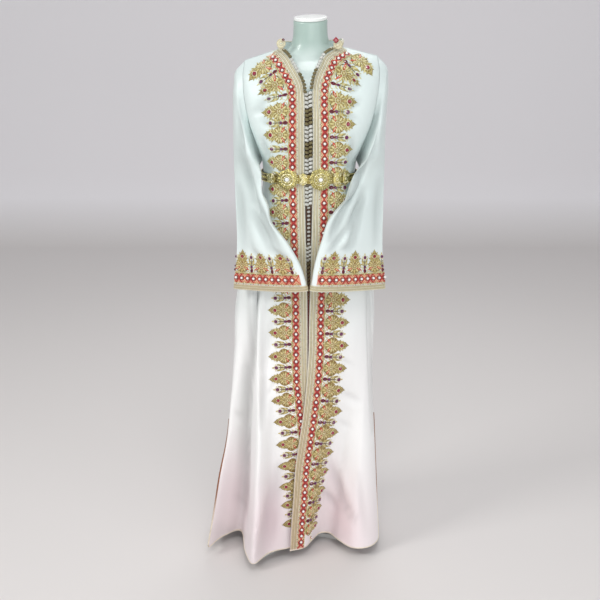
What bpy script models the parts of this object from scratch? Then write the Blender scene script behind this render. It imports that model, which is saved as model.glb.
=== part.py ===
"""Moroccan kaftan worn by a limbless dress form.

The cloth is drafted as the maker cuts it: two fronts, one back, two sleeves and a
stand collar, each a thin wall, with the braids, embroidered bands, cuff trims, knot
buttons, piping and metal belt laid on as pieces of their own.  Every outline comes
from short tables of stations that are read through one smooth curve.
"""
import math

import bmesh
import bpy
import numpy as np

# ---------------------------------------------------------------- driving sizes (metres)
WALL, SLEEVE_WALL = 0.0014, 0.0011   # thickness of the crepe
SEAM = 0.0003            # half of the gap left between two pieces at a seam
TRIM_LIFT = 0.0004       # gap between a panel and a trim lying on it
TRIM_EDGE = 0.0010       # a cuff trim ends this far inside its two rings
BRAID_WIDTH = 0.0200
BRAID_THICK = 0.0018
BAND_WIDTH = 0.0240      # trellis band beside the braid
BAND_THICK = 0.0012
PIPING = 0.0030          # diameter of the cord round the hems and slits
COLLAR_SEAM_Z = 1.488    # height of the collar seam at the side of the neck
COLLAR_HEIGHT = 0.027
COLLAR_THICK = 0.0024
COLLAR_LEAN = 0.006      # how far its top stands out over its foot
COLLAR_FOOT_GAP = 0.0012
COLLAR_COLUMNS = 25
NECK_SLANT = 0.16        # rise of the neck's cut end, per metre from front to back
SLIT_TOP = 0.43          # height where the side slits stand clearly open
TILT = 0.033             # the form stands with one shoulder this much higher, per metre
TILT_FROM, TILT_OVER = 1.15, 0.25
AXIS_X = 0.004           # centre of the neck and back
POLE_Y = 0.040           # the stand's pole is this far behind the draft's axis
FRONT_COLUMNS, BACK_COLUMNS, SLEEVE_SIDES = 18, 26, 24
HEAD_ROWS = (0.0, 0.12, 0.30, 0.52, 0.76, 1.0)   # sleeve rings between armhole and armpit
SLEEVE_ROWS = 8          # sleeve rings from there to the cuff's trims
CLOSED_DROP = (0.378, 0.290)   # where the rings close, at the inner and outer edge
CUFF_DROP = (0.638, 0.657)     # the cuff's edge, at the inner and outer edge
CUFF_BAND_RISE, CUFF_BRAID_RISE = 0.050, 0.018   # upper edges of the trims above it
ARMHOLE_GAP = 0.0005     # the sleeve starts this far out from the armhole's seam
SMOOTH_PASSES = 2        # smoothing of the directions along which a sleeve's wall is thick
HEAD_SWIFTNESS = 0.31    # the lower, the sooner a sleeve's columns leave the stations of the seam
LEAVE_POWER = 7.0        # the higher, the sooner a sleeve bulges as it leaves the seam
TRIM_SLANT_LIMIT = 1.6   # a trim is never stretched along a row by more than this

# Front edges: drop below the collar seam, edge of the left front, edge of the right
# front, its depth, and how far the right front laps over the left.
FRONT_EDGE = (
    # drop   left_x   right_x     y      lap
    (0.000, -0.0820, 0.0900, -0.0050, 0.0000),
    (0.012, -0.0640, 0.0560, -0.0500, 0.0000),
    (0.046, -0.0400, 0.0270, -0.0850, 0.0000),
    (0.092, -0.0160, 0.0096, -0.1080, 0.0000),
    (0.125, -0.0122, 0.0075, -0.1170, 0.0000),
    (0.200, -0.0118, 0.0092, -0.1260, 0.0000),
    (0.290, -0.0118, 0.0092, -0.1170, 0.0000),
    (0.346, -0.0115, 0.0092, -0.1090, 0.0000),
    (0.430, -0.0100, 0.0085, -0.1130, 0.0000),
    (0.530, -0.0075, 0.0065, -0.1210, 0.0000),
    (0.640, -0.0045, 0.0035, -0.1260, 0.0000),
    (0.750, -0.0030, 0.0008, -0.1240, 0.0000),
    (0.840, -0.0026, -0.0006, -0.1220, 0.0020),
    (0.930, -0.0010, -0.0062, -0.1200, 0.0045),
    (1.020, 0.0000, -0.0150, -0.1180, 0.0055),
    (1.100, 0.0000, -0.0258, -0.1160, 0.0060),
    (1.190, 0.0000, -0.0380, -0.1150, 0.0060),
    (1.290, 0.0000, -0.0444, -0.1130, 0.0060),
    (1.385, 0.0000, -0.0512, -0.1110, 0.0060),
    (1.455, 0.0010, -0.0545, -0.1100, 0.0060),
)
# Side edges: shoulder tip, armhole down to the armpit, then the side seam to the hem.
SIDE_EDGE = (
    # drop  side_drop  left_x  right_x   left_y   right_y  armhole  square
    (0.000, 0.028, -0.1760, 0.1880, 0.000, 0.000, 0.0006, 2.0),
    (0.012, 0.052, -0.1790, 0.1910, 0.000, 0.000, 0.0300, 2.0),
    (0.046, 0.092, -0.1790, 0.1910, 0.000, 0.000, 0.0500, 2.1),
    (0.092, 0.140, -0.1740, 0.1850, 0.000, 0.000, 0.0590, 2.3),
    (0.125, 0.182, -0.1660, 0.1760, 0.000, 0.000, 0.0600, 2.5),
    (0.200, 0.238, -0.1500, 0.1570, 0.000, 0.000, 0.0480, 2.8),
    (0.265, 0.278, -0.1370, 0.1410, 0.000, 0.000, 0.0270, 3.0),
    (0.305, 0.305, -0.1300, 0.1330, 0.000, 0.000, 0.0000, 2.9),
    (0.325, 0.325, -0.1280, 0.1310, 0.000, 0.000, 0.0000, 2.9),
    (0.346, 0.346, -0.1270, 0.1300, 0.000, 0.000, 0.0000, 2.8),
    (0.368, 0.368, -0.1280, 0.1310, 0.000, 0.000, 0.0000, 2.8),
    (0.430, 0.430, -0.1400, 0.1400, -0.002, 0.000, 0.0000, 2.6),
    (0.530, 0.530, -0.1680, 0.1640, -0.008, 0.000, 0.0000, 2.4),
    (0.640, 0.640, -0.1980, 0.1840, -0.018, -0.005, 0.0000, 2.3),
    (0.750, 0.750, -0.2125, 0.1915, -0.030, -0.008, 0.0000, 2.3),
    (0.840, 0.840, -0.2145, 0.1900, -0.038, -0.010, 0.0000, 2.3),
    (0.930, 0.930, -0.2215, 0.1895, -0.048, -0.013, 0.0000, 2.3),
    (1.020, 1.020, -0.2300, 0.1930, -0.058, -0.016, 0.0000, 2.3),
    (1.120, 1.120, -0.2400, 0.1985, -0.068, -0.020, 0.0000, 2.3),
    (1.240, 1.240, -0.2620, 0.2045, -0.083, -0.026, 0.0000, 2.3),
    (1.385, 1.385, -0.2855, 0.2115, -0.099, -0.033, 0.0000, 2.3),
    (1.455, 1.455, -0.2985, 0.2150, -0.108, -0.038, 0.0000, 2.3),
)
ARMPIT_DROP = 0.305
BACK_EDGE = (
    # drop  back_drop    y
    (0.000, 0.0040, 0.062),
    (0.012, 0.0320, 0.078),
    (0.046, 0.0650, 0.090),
    (0.092, 0.1120, 0.098),
    (0.125, 0.1500, 0.102),
    (0.200, 0.2120, 0.102),
    (0.265, 0.2650, 0.096),
    (0.325, 0.3250, 0.085),
    (0.346, 0.3460, 0.084),
    (0.368, 0.3680, 0.085),
    (0.430, 0.4300, 0.094),
    (0.530, 0.5300, 0.112),
    (0.640, 0.6400, 0.124),
    (0.840, 0.8400, 0.138),
    (1.120, 1.1200, 0.158),
    (1.455, 1.4550, 0.182),
)
# Folds: where a fold line lies round the unfolded panel (0 front edge, 1 side edge, or
# left side to right side on the back), where it stands at the hem, and the height at
# which it dies away.
LEFT_FOLDS = (
    # at       x       y     top
    (0.00, -0.005, -0.088, 0.66),
    (0.20, -0.051, -0.112, 0.66),
    (0.42, -0.114, -0.143, 0.70),
    (0.60, -0.165, -0.210, 0.98),
    (0.67, -0.187, -0.140, 0.98),
    (0.73, -0.213, -0.002, 0.98),
    (0.81, -0.257, -0.038, 0.94),
    (1.00, -0.301, -0.118, 0.60),
)
RIGHT_FOLDS = (
    (0.00, -0.0545, -0.132, 0.66),
    (0.22, -0.009, -0.110, 0.66),
    (0.36, 0.013, -0.066, 0.66),
    (0.46, 0.038, -0.022, 0.70),
    (0.55, 0.063, -0.020, 0.70),
    (0.66, 0.092, -0.064, 0.74),
    (0.80, 0.141, -0.117, 0.84),
    (0.90, 0.187, -0.106, 0.84),
    (0.96, 0.213, -0.066, 0.84),
    (1.00, 0.217, -0.042, 0.80),
)
BACK_FOLDS = (
    (0.00, -0.288, -0.076, 0.60),
    (0.08, -0.290, 0.004, 0.80),
    (0.16, -0.252, 0.078, 0.84),
    (0.24, -0.224, 0.122, 0.84),
    (0.32, -0.182, 0.200, 0.88),
    (0.41, -0.108, 0.176, 0.90),
    (0.50, -0.040, 0.228, 0.92),
    (0.58, 0.028, 0.188, 0.90),
    (0.67, 0.092, 0.226, 0.88),
    (0.76, 0.140, 0.164, 0.84),
    (0.84, 0.190, 0.152, 0.84),
    (0.92, 0.204, 0.070, 0.80),
    (1.00, 0.216, -0.008, 0.76),
)
# Sleeves as level slices: the outer edge, the inner edge (above the armpit the armhole's
# seam takes its place), where the front's ridge lies, how deep the front and back bulge,
# how far the ridge leans toward the body, and how squarely the slice leaves its inner edge.
LEFT_SLEEVE = (
    # drop   outer x, y     inner x, y     ridge front   back    lean   square
    (0.028, -0.1760, 0.000, -0.1760, 0.000, 0.50, 0.0000, 0.0000, 0.000, 1.0),
    (0.052, -0.2000, -0.004, -0.1790, 0.000, 0.50, 0.0120, 0.0100, 0.000, 1.0),
    (0.092, -0.2075, -0.010, -0.1790, 0.000, 0.50, 0.0200, 0.0140, 0.000, 1.0),
    (0.173, -0.2095, -0.020, -0.1700, 0.000, 0.55, 0.0360, 0.0160, 0.002, 1.0),
    (0.211, -0.2095, -0.027, -0.1560, 0.000, 0.62, 0.0500, 0.0170, 0.006, 1.0),
    (0.258, -0.2095, -0.034, -0.1420, 0.000, 0.66, 0.0720, 0.0180, 0.014, 1.0),
    (0.305, -0.2085, -0.042, -0.1300, 0.000, 0.68, 0.0960, 0.0220, 0.026, 0.8),
    (0.323, -0.2080, -0.044, -0.1390, -0.020, 0.69, 0.0880, 0.0210, 0.030, 0.4),
    (0.348, -0.2068, -0.047, -0.1440, -0.052, 0.69, 0.0640, 0.0200, 0.028, 0.1),
    (0.378, -0.2058, -0.051, -0.1320, -0.090, 0.69, 0.0400, 0.0190, 0.014, 0.0),
    (0.408, -0.2050, -0.055, -0.1130, -0.120, 0.69, 0.0270, 0.0180, 0.002, 0.0),
    (0.458, -0.2030, -0.064, -0.1010, -0.142, 0.70, 0.0220, 0.0180, 0.000, 0.0),
    (0.508, -0.2010, -0.075, -0.0600, -0.162, 0.68, 0.0220, 0.0180, 0.000, 0.0),
    (0.573, -0.2030, -0.087, -0.0220, -0.180, 0.66, 0.0220, 0.0200, 0.000, 0.0),
    (0.638, -0.2090, -0.098, -0.0030, -0.196, 0.62, 0.0220, 0.0200, 0.000, 0.0),
    (0.660, -0.2105, -0.101, 0.0030, -0.200, 0.60, 0.0220, 0.0200, 0.000, 0.0),
)
RIGHT_SLEEVE = (
    (0.028, 0.1880, 0.000, 0.1880, 0.000, 0.50, 0.0000, 0.0000, 0.000, 1.0),
    (0.052, 0.2115, -0.004, 0.1910, 0.000, 0.50, 0.0120, 0.0100, 0.000, 1.0),
    (0.098, 0.2190, -0.010, 0.1910, 0.000, 0.50, 0.0200, 0.0140, 0.000, 1.0),
    (0.178, 0.2150, -0.020, 0.1800, 0.000, 0.55, 0.0360, 0.0160, 0.002, 1.0),
    (0.211, 0.2135, -0.027, 0.1640, 0.000, 0.62, 0.0500, 0.0170, 0.002, 1.0),
    (0.258, 0.2120, -0.034, 0.1480, 0.000, 0.66, 0.0700, 0.0180, 0.010, 1.0),
    (0.305, 0.2110, -0.042, 0.1330, 0.000, 0.68, 0.0960, 0.0220, 0.028, 0.8),
    (0.323, 0.2105, -0.044, 0.1410, -0.020, 0.69, 0.0880, 0.0210, 0.038, 0.4),
    (0.348, 0.2098, -0.047, 0.1440, -0.054, 0.69, 0.0640, 0.0200, 0.044, 0.1),
    (0.378, 0.2090, -0.051, 0.1260, -0.092, 0.69, 0.0400, 0.0190, 0.034, 0.0),
    (0.408, 0.2085, -0.056, 0.0900, -0.126, 0.69, 0.0290, 0.0180, 0.012, 0.0),
    (0.443, 0.2080, -0.062, 0.0580, -0.148, 0.70, 0.0220, 0.0180, 0.000, 0.0),
    (0.508, 0.2065, -0.076, 0.0330, -0.164, 0.68, 0.0220, 0.0180, 0.000, 0.0),
    (0.568, 0.2080, -0.086, 0.0150, -0.180, 0.66, 0.0220, 0.0200, 0.000, 0.0),
    (0.638, 0.2140, -0.098, 0.0030, -0.196, 0.62, 0.0220, 0.0200, 0.000, 0.0),
    (0.660, 0.2155, -0.101, -0.0030, -0.200, 0.60, 0.0220, 0.0200, 0.000, 0.0),
)
# The dress form: height, half width, front and back depth, squareness.
FORM = (
    # z      half    front    back   square
    (0.740, 0.120, -0.080, 0.080, 2.0),
    (0.760, 0.142, -0.094, 0.094, 2.1),
    (0.860, 0.158, -0.104, 0.108, 2.2),
    (0.960, 0.148, -0.100, 0.098, 2.2),
    (1.060, 0.122, -0.090, 0.078, 2.2),
    (1.142, 0.106, -0.086, 0.066, 2.2),
    (1.220, 0.116, -0.098, 0.076, 2.3),
    (1.290, 0.130, -0.106, 0.084, 2.3),
    (1.350, 0.148, -0.096, 0.084, 2.2),
    (1.400, 0.160, -0.078, 0.074, 2.0),
    (1.435, 0.154, -0.056, 0.058, 2.0),
    (1.455, 0.132, -0.046, 0.052, 2.0),
    (1.468, 0.110, -0.044, 0.048, 2.0),
    (1.478, 0.081, -0.044, 0.046, 2.0),
    (1.490, 0.059, -0.044, 0.045, 2.0),
    (1.510, 0.050, -0.043, 0.045, 2.0),
    (1.540, 0.0465, -0.043, 0.045, 2.0),
    (1.562, 0.0465, -0.043, 0.045, 2.0),
)
FORM_SIDES, FORM_ROWS = 20, 22
CAP_RADIUS, CAP_THICK = 0.0460, 0.0080
POLE_RADIUS = 0.0125
FOOT_THICK, FOOT_WIDTH = 0.0130, 0.0300
HUB_RADIUS = 0.0270
FEET = ((-0.145, -0.150), (0.172, -0.062), (0.090, 0.150), (-0.110, 0.140))

# Row stations shared by the panels and by every trim that lies on them.
STATIONS = (0.0000, 0.0050, 0.0120, 0.0280, 0.0460, 0.0690, 0.0920, 0.1250, 0.1600, 0.2000,
            0.2400, 0.2720, 0.3050, 0.3300, 0.3620, 0.3950, 0.4500, 0.5200, 0.6000, 0.6900,
            0.7800, 0.8700, 0.9500, 1.0200, 1.0900, 1.1700, 1.2500, 1.3300, 1.4000, 1.4560)
# Buttons: rows of knots between the fronts, raised by turns on the left and the right.
BUTTON_PITCH = 0.0110
BUTTON_FROM, BUTTON_TO = 0.118, 0.655
BUTTON_RISE = 0.0042
BUTTON_SIDE_GAP = 0.0008

# Belt: a band round the waist with plates, two rosettes and a clasp on its front.
BELT_Z, BELT_HEIGHT, BELT_THICK, BELT_LIFT, BELT_SIDES = 1.1420, 0.0240, 0.0014, 0.0046, 44
PLATE_THICK = 0.0024
PLATES = (
    # name           centre x   width   height
    ("plate_left", -0.1035, 0.0270, 0.0270),
    ("clasp", -0.0155, 0.0240, 0.0320),
    ("plate_right_1", 0.0760, 0.0220, 0.0400),
    ("plate_right_2", 0.0995, 0.0200, 0.0340),
)
ROSETTES = (
    # name       centre x   radius
    ("left", -0.0590, 0.0270),
    ("right", 0.0305, 0.0292),
)
ROSETTE_LOBES, ROSETTE_SIDES = 8, 24
ROSETTE_RINGS = ((0.96, 0.0), (1.00, 0.0016), (0.92, 0.0034), (0.62, 0.0038), (0.42, 0.0060))
ROSETTE_SEAT = 0.0002     # a rosette's flat back lies this much nearer than a plate does
STONE_RINGS = ((1.00, 0.0), (0.96, 0.0016), (0.45, 0.0032))
STONE_RADIUS, STONE_SIDES = 0.0072, 10


# ---------------------------------------------------------------- curves and tables
def read(table, at):
    """Columns of a table at the places `at`, through a smooth cubic."""
    rows = np.asarray(table, float)
    knots, values = rows[:, 0], rows[:, 1:]
    slope = np.gradient(values, knots, axis=0)
    at = np.clip(np.atleast_1d(at), knots[0], knots[-1])
    cell = np.clip(np.searchsorted(knots, at, side="right") - 1, 0, len(knots) - 2)
    step = (knots[cell + 1] - knots[cell])[:, None]
    t = (at - knots[cell])[:, None] / step
    start, end = values[cell], values[cell + 1]
    bend_in, bend_out = slope[cell] * step, slope[cell + 1] * step
    return ((2 * t**3 - 3 * t**2 + 1) * start + (t**3 - 2 * t**2 + t) * bend_in
            + (3 * t**2 - 2 * t**3) * end + (t**3 - t**2) * bend_out)


def ease(value, start, over):
    """0 before `start`, 1 after `start + over`, smooth between."""
    t = np.clip((value - start) / over, 0.0, 1.0)
    return t * t * (3 - 2 * t)


def tilted(points):
    """Raise the right shoulder and lower the left, as the form stands."""
    lifted = points.copy()
    lifted[..., 2] += TILT * points[..., 0] * ease(points[..., 2], TILT_FROM, TILT_OVER)
    return lifted


def quarter(share, square):
    """Along and across parts of a quarter of a superellipse, from its front to its side."""
    angle = np.clip(share, 0.0, 1.0) * math.pi / 2
    power = 2.0 / square
    return np.sin(angle) ** power, np.cos(angle).clip(0.0) ** power


# ---------------------------------------------------------------- body panels
def unfolded(edge, side, square, share):
    """Points from a panel's edge to its side, evenly spaced along a superellipse."""
    fine = np.linspace(0.0, 1.0, 161)
    across, along = quarter(fine, square)
    curve = np.stack((edge[0] + (side[0] - edge[0]) * across,
                      side[1] + (edge[1] - side[1]) * along,
                      edge[2] + (side[2] - edge[2]) * across), axis=-1)
    length = np.append(0.0, np.cumsum(np.linalg.norm(np.diff(curve, axis=0), axis=1)))
    wanted = np.asarray(share) * length[-1]
    return np.stack([np.interp(wanted, length, curve[:, axis]) for axis in range(3)], axis=-1)


def fold_labels(folds):
    """Label of each fold line, midway between its share of the hem and of the unfolded row."""
    rows = np.asarray(folds, float)
    run = np.linalg.norm(np.diff(rows[:, 1:3], axis=0), axis=1)
    label = np.append(0.0, np.cumsum(run))
    return 0.5 * (label / label[-1] + rows[:, 0]), rows


def fold_shift(base, hem_base, label, folds, height):
    """How far the folds carry each point of a row away from the unfolded panel."""
    labels, rows = fold_labels(folds)
    table = np.column_stack((labels, rows[:, 1:]))
    target = read(table, label)
    top = np.interp(label, labels, rows[:, 3])
    hem_z = COLLAR_SEAM_Z - STATIONS[-1]
    grown = np.clip((top - height) / (top - hem_z), 0.0, 1.0)
    grown = grown * (0.35 + 0.65 * grown)
    shifted = base.copy()
    shifted[:, :2] += grown[:, None] * (target[:, :2] - hem_base[:, :2])
    return shifted


def front_row(drop, hand, label):
    """One row of a front panel, hand -1 for the left front and +1 for the right."""
    left_x, right_x, edge_y, lap = read(FRONT_EDGE, drop)[0]
    side_drop, left_side, right_side, left_y, right_y, armhole, square = read(SIDE_EDGE, drop)[0]
    edge = (left_x if hand < 0 else right_x, edge_y - (lap if hand > 0 else 0.0),
            COLLAR_SEAM_Z - drop)
    side = (left_side if hand < 0 else right_side,
            (left_y if hand < 0 else right_y) - max(armhole, 0.0), COLLAR_SEAM_Z - side_drop)
    folds = LEFT_FOLDS if hand < 0 else RIGHT_FOLDS
    labels, rows = fold_labels(folds)
    return unfolded(edge, side, square, np.interp(label, labels, rows[:, 0]))


def front_grid(hand, label_of_row):
    """All rows of a front panel, folds included."""
    folds = LEFT_FOLDS if hand < 0 else RIGHT_FOLDS
    rows = []
    for drop, label in zip(STATIONS, label_of_row):
        row = front_row(drop, hand, label)
        hem = front_row(STATIONS[-1], hand, label)
        rows.append(fold_shift(row, hem, label, folds, row[:, 2]))
    return tilted(np.array(rows))


def front_labels(hand):
    """Column labels of each front row: the trims' edges, then even steps to the side."""
    trims = (0.0, BRAID_WIDTH + SEAM, BRAID_WIDTH + SEAM + BAND_WIDTH + 2 * SEAM)
    even = np.linspace(0.0, 1.0, 201)
    rows = []
    probe = front_grid(hand, [even] * len(STATIONS))
    hem_ward = np.gradient(probe[:, 0], axis=0)
    for points, edge_way in zip(probe, hem_ward):
        length = np.append(0.0, np.cumsum(np.linalg.norm(np.diff(points, axis=0), axis=1)))
        ends = np.interp((SEAM, length[-1] - SEAM), length, even)
        row_way = points[8] - points[0]
        sine = np.linalg.norm(np.cross(edge_way, row_way))
        sine /= np.linalg.norm(edge_way) * np.linalg.norm(row_way)
        slant = min(1.0 / sine, TRIM_SLANT_LIMIT)
        near = np.interp(np.array(trims[1:]) * slant, length, even)
        rest = np.linspace(near[-1], ends[1], FRONT_COLUMNS - 1)[1:]
        rows.append(np.concatenate(([ends[0]], near, rest)))
    return rows


def back_row(drop, share):
    """One row of the back, share 0 at the left side, 0.5 at centre back, 1 at the right."""
    back_drop, back_y = read(BACK_EDGE, drop)[0]
    side_drop, left_side, right_side, left_y, right_y, armhole, square = read(SIDE_EDGE, drop)[0]
    middle = (AXIS_X, back_y, COLLAR_SEAM_Z - back_drop)
    halves = []
    for hand, side_x, side_y in ((-1, left_side, left_y), (1, right_side, right_y)):
        side = (side_x, side_y + max(armhole, 0.0), COLLAR_SEAM_Z - side_drop)
        mine = share[share < 0.5] if hand < 0 else share[share >= 0.5]
        halves.append(unfolded(middle, side, square, np.abs(mine - 0.5) * 2))
    row = np.concatenate(halves)
    return row + (shoulder_line(share) - row) * (1.0 - ease(drop, 0.0, 0.060))


def shoulder_line(share):
    """Top edge of the back: shoulder seam, round the back of the neck, shoulder seam."""
    left_tip, right_tip = SIDE_EDGE[0][2], SIDE_EDGE[0][3]
    left_neck, right_neck = FRONT_EDGE[0][1], FRONT_EDGE[0][2]
    neck_side = 0.30
    knots = (0.0, neck_side, 0.38, 0.44, 0.5, 0.56, 0.62, 1 - neck_side, 1.0)
    half = (right_neck - left_neck) / 2
    x = (left_tip, left_neck, AXIS_X - 0.88 * half, AXIS_X - 0.50 * half, AXIS_X,
         AXIS_X + 0.50 * half, AXIS_X + 0.88 * half, right_neck, right_tip)
    deep = BACK_EDGE[0][2]
    y = (0.0006, -0.0035, 0.50 * deep, 0.88 * deep, deep, 0.88 * deep, 0.50 * deep,
         -0.0035, 0.0006)
    tip, neck = COLLAR_SEAM_Z - SIDE_EDGE[0][1], COLLAR_SEAM_Z
    z = (tip, neck, neck - 0.002, neck - 0.004, neck - 0.004, neck - 0.004, neck - 0.002,
         neck, tip)
    return np.stack([np.interp(share, knots, axis) for axis in (x, y, z)], axis=-1)


def back_grid():
    """All rows of the back, with its neck opening along the top edge."""
    labels, rows = fold_labels(BACK_FOLDS)
    label = np.linspace(0.0008, 0.9992, BACK_COLUMNS + 1)
    share = np.interp(label, labels, rows[:, 0])
    hem = back_row(STATIONS[-1], share)
    grid = []
    for drop in STATIONS:
        row = back_row(drop, share)
        grid.append(fold_shift(row, hem, label, BACK_FOLDS, row[:, 2]))
    return tilted(np.array(grid))


# ---------------------------------------------------------------- sleeves
def armhole_edge(hand):
    """The armhole's seam from the armpit up to the shoulder: x, half its depth, drop."""
    drops = np.linspace(ARMPIT_DROP, 0.0, 121)
    side_drop, left_x, right_x, _, _, armhole, _ = read(SIDE_EDGE, drops).T
    armhole[0] = armhole[-1] = 0.0
    return np.stack((left_x if hand < 0 else right_x, armhole, side_drop), axis=-1)


def sleeve_points(hand, drop, across, way):
    """Points of a sleeve at drops below the collar; across runs from its inner edge to
    its outer one over the front (way 1) or the back (way -1)."""
    edge = armhole_edge(hand)[::-1]
    table = LEFT_SLEEVE if hand < 0 else RIGHT_SLEEVE
    row = read(table, drop.ravel()).reshape(drop.shape + (-1,))
    outer_x, outer_y, inner_x, inner_y, ridge, front, back, lean, square = np.moveaxis(row, -1, 0)
    above = drop < ARMPIT_DROP
    inner_x = np.where(above, np.interp(drop, edge[:, 2], edge[:, 0]), inner_x)
    inner_y = np.where(above, -way * np.interp(drop, edge[:, 2], edge[:, 1]), inner_y)
    square = square.clip(0.0, 1.0)
    along = (square * np.sin(across * math.pi / 2)
             + (1 - square) * (1 - np.cos(math.pi * across)) / 2)
    skew = math.log(0.5) / np.log(ridge) if way > 0 else 1.0
    bulge = np.sin(math.pi * (1 - across) ** skew) * (1 - square * (1 - across) ** LEAVE_POWER)
    x = inner_x + (outer_x - inner_x) * along
    y = inner_y + (outer_y - inner_y) * along
    if way > 0:
        x, y = x - hand * lean * bulge**2, y - front * bulge
    else:
        y = y + back * bulge
    return np.stack((x, y, COLLAR_SEAM_Z - drop), axis=-1)


def sleeve_half(hand, way, across):
    """Rows of one half of a sleeve, from the armhole's seam to the cuff's edge."""
    level = (1 - np.cos(math.pi * across)) / 2
    stations = [drop for drop in STATIONS if drop <= ARMPIT_DROP][::-1]
    at = np.interp(across, np.linspace(0.0, 1.0, len(stations)), stations)
    seam = read(SIDE_EDGE, at)[:, 0]
    closed = CLOSED_DROP[0] + (CLOSED_DROP[1] - CLOSED_DROP[0]) * level
    cuff = CUFF_DROP[0] + (CUFF_DROP[1] - CUFF_DROP[0]) * level
    rows = []
    for share in HEAD_ROWS:
        drop = seam + (closed - seam) * share
        swift = share**HEAD_SWIFTNESS
        rows.append((drop, across * swift / (1 - across * (1 - swift)).clip(1e-6)))
    for share in np.linspace(0.0, 1.0, SLEEVE_ROWS)[1:]:
        rows.append((closed + (cuff - CUFF_BAND_RISE - closed) * share, across))
    rows += [(cuff - CUFF_BRAID_RISE, across), (cuff, across)]
    return np.array([sleeve_points(hand, drop, at, way) for drop, at in rows])


def sleeve_grid(hand):
    """Rows round a sleeve: outer edge, front, inner edge, back; the first follows the
    edges of the front and the back."""
    across = np.linspace(1.0, 0.0, SLEEVE_SIDES // 2 + 1)
    front = sleeve_half(hand, 1.0, across)
    back = sleeve_half(hand, -1.0, across)
    grid = tilted(np.concatenate((front[:, :-1], back[:, :0:-1]), axis=1))
    seam_rows = slice(0, SLEEVE_SIDES // 2 + 1)
    front_edge = front_grid(hand, front_labels(hand))[seam_rows, -1]
    back_edge = back_grid()[seam_rows, 0 if hand < 0 else -1]
    grid[0] = np.concatenate((front_edge[:-1], back_edge[:0:-1]))
    grid[0, :, 0] += hand * ARMHOLE_GAP
    return grid


# ---------------------------------------------------------------- solids from grids
def normals_of(grid, around=False):
    """Unit normals of a grid of points, from the steps to its neighbours."""
    if around:
        padded = np.concatenate((grid[:, -1:], grid, grid[:, :1]), axis=1)
        across = padded[:, 2:] - padded[:, :-2]
    else:
        across = np.gradient(grid, axis=1)
    down = np.gradient(grid, axis=0)
    normal = np.cross(across, down)
    return normal / np.linalg.norm(normal, axis=-1, keepdims=True).clip(1e-9)


def grid_faces(rows, columns, start, around, flip):
    """Triangles of one skin of a grid, every cell split the same way."""
    faces = []
    for r in range(rows - 1):
        for c in range(columns if around else columns - 1):
            a, b = start + r * columns + c, start + r * columns + (c + 1) % columns
            d, e = a + columns, b + columns
            pair = [(a, d, e), (a, e, b)]
            faces += [face[::-1] for face in pair] if flip else pair
    return faces


def rim_faces(loop_a, loop_b, flip):
    """Triangles joining two matching closed loops."""
    faces = []
    for i, a in enumerate(loop_a):
        j = (i + 1) % len(loop_a)
        pair = [(a, loop_b[i], loop_b[j]), (a, loop_b[j], loop_a[j])]
        faces += [face[::-1] for face in pair] if flip else pair
    return faces


def wall(name, outer, inner, material, around=False):
    """Closed thin solid between two matching grids of points."""
    rows, columns = outer.shape[:2]
    count = rows * columns
    points = np.concatenate((outer.reshape(-1, 3), inner.reshape(-1, 3)))
    faces = grid_faces(rows, columns, 0, around, False)
    faces += grid_faces(rows, columns, count, around, True)
    if around:
        top, foot = range(columns), range(count - columns, count)
        for loop, flip in ((list(top), True), (list(foot), False)):
            faces += rim_faces([i + count for i in loop], loop, not flip)
    else:
        loop = list(range(columns))
        loop += [r * columns + columns - 1 for r in range(1, rows)]
        loop += [(rows - 1) * columns + c for c in range(columns - 2, -1, -1)]
        loop += [r * columns for r in range(rows - 2, 0, -1)]
        faces += rim_faces(loop, [i + count for i in loop], False)
    return add_solid(name, points, faces, material)


def add_solid(name, points, faces, material, smooth=True):
    """Add a mesh object, turn its faces outward and give it its material."""
    mesh = bpy.data.meshes.new(name)
    mesh.from_pydata([tuple(p) for p in np.asarray(points).tolist()], [], faces)
    body = bmesh.new()
    body.from_mesh(mesh)
    bmesh.ops.recalc_face_normals(body, faces=body.faces)
    if body.calc_volume(signed=True) < 0:
        bmesh.ops.reverse_faces(body, faces=body.faces)
    body.to_mesh(mesh)
    body.free()
    if smooth:
        mesh.shade_smooth()
        mesh.set_sharp_from_angle(angle=math.radians(50))
    mesh.materials.append(material)
    solid = bpy.data.objects.new(name, mesh)
    solid.location = (0.0, -POLE_Y, 0.0)
    bpy.context.collection.objects.link(solid)
    return solid


def material(name, colour, roughness, metallic=0.0):
    """Principled material with one colour."""
    finish = bpy.data.materials.new(name)
    finish.use_nodes = True
    shader = finish.node_tree.nodes["Principled BSDF"]
    shader.inputs["Base Color"].default_value = (*colour, 1.0)
    shader.inputs["Roughness"].default_value = roughness
    shader.inputs["Metallic"].default_value = metallic
    finish.diffuse_color = (*colour, 1.0)
    return finish


# ---------------------------------------------------------------- trims on the panels
def columns_between(grid, first, last, margin):
    """Two columns of a grid, drawn toward each other by `margin` metres."""
    a, b = grid[:, first], grid[:, last]
    step = (b - a) / np.linalg.norm(b - a, axis=-1, keepdims=True)
    return a + step * margin, b - step * margin


def strip_on(name, grid, normal, first, last, rows, thick, finish):
    """A trim lying on the panel between two of its column lines."""
    a, b = columns_between(grid[rows], first, last, SEAM)
    foot = np.stack((a, b), axis=1)
    lean = np.stack((normal[rows, first], normal[rows, last]), axis=1)
    wall(name, foot + lean * (TRIM_LIFT + thick), foot + lean * TRIM_LIFT, finish)


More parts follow.
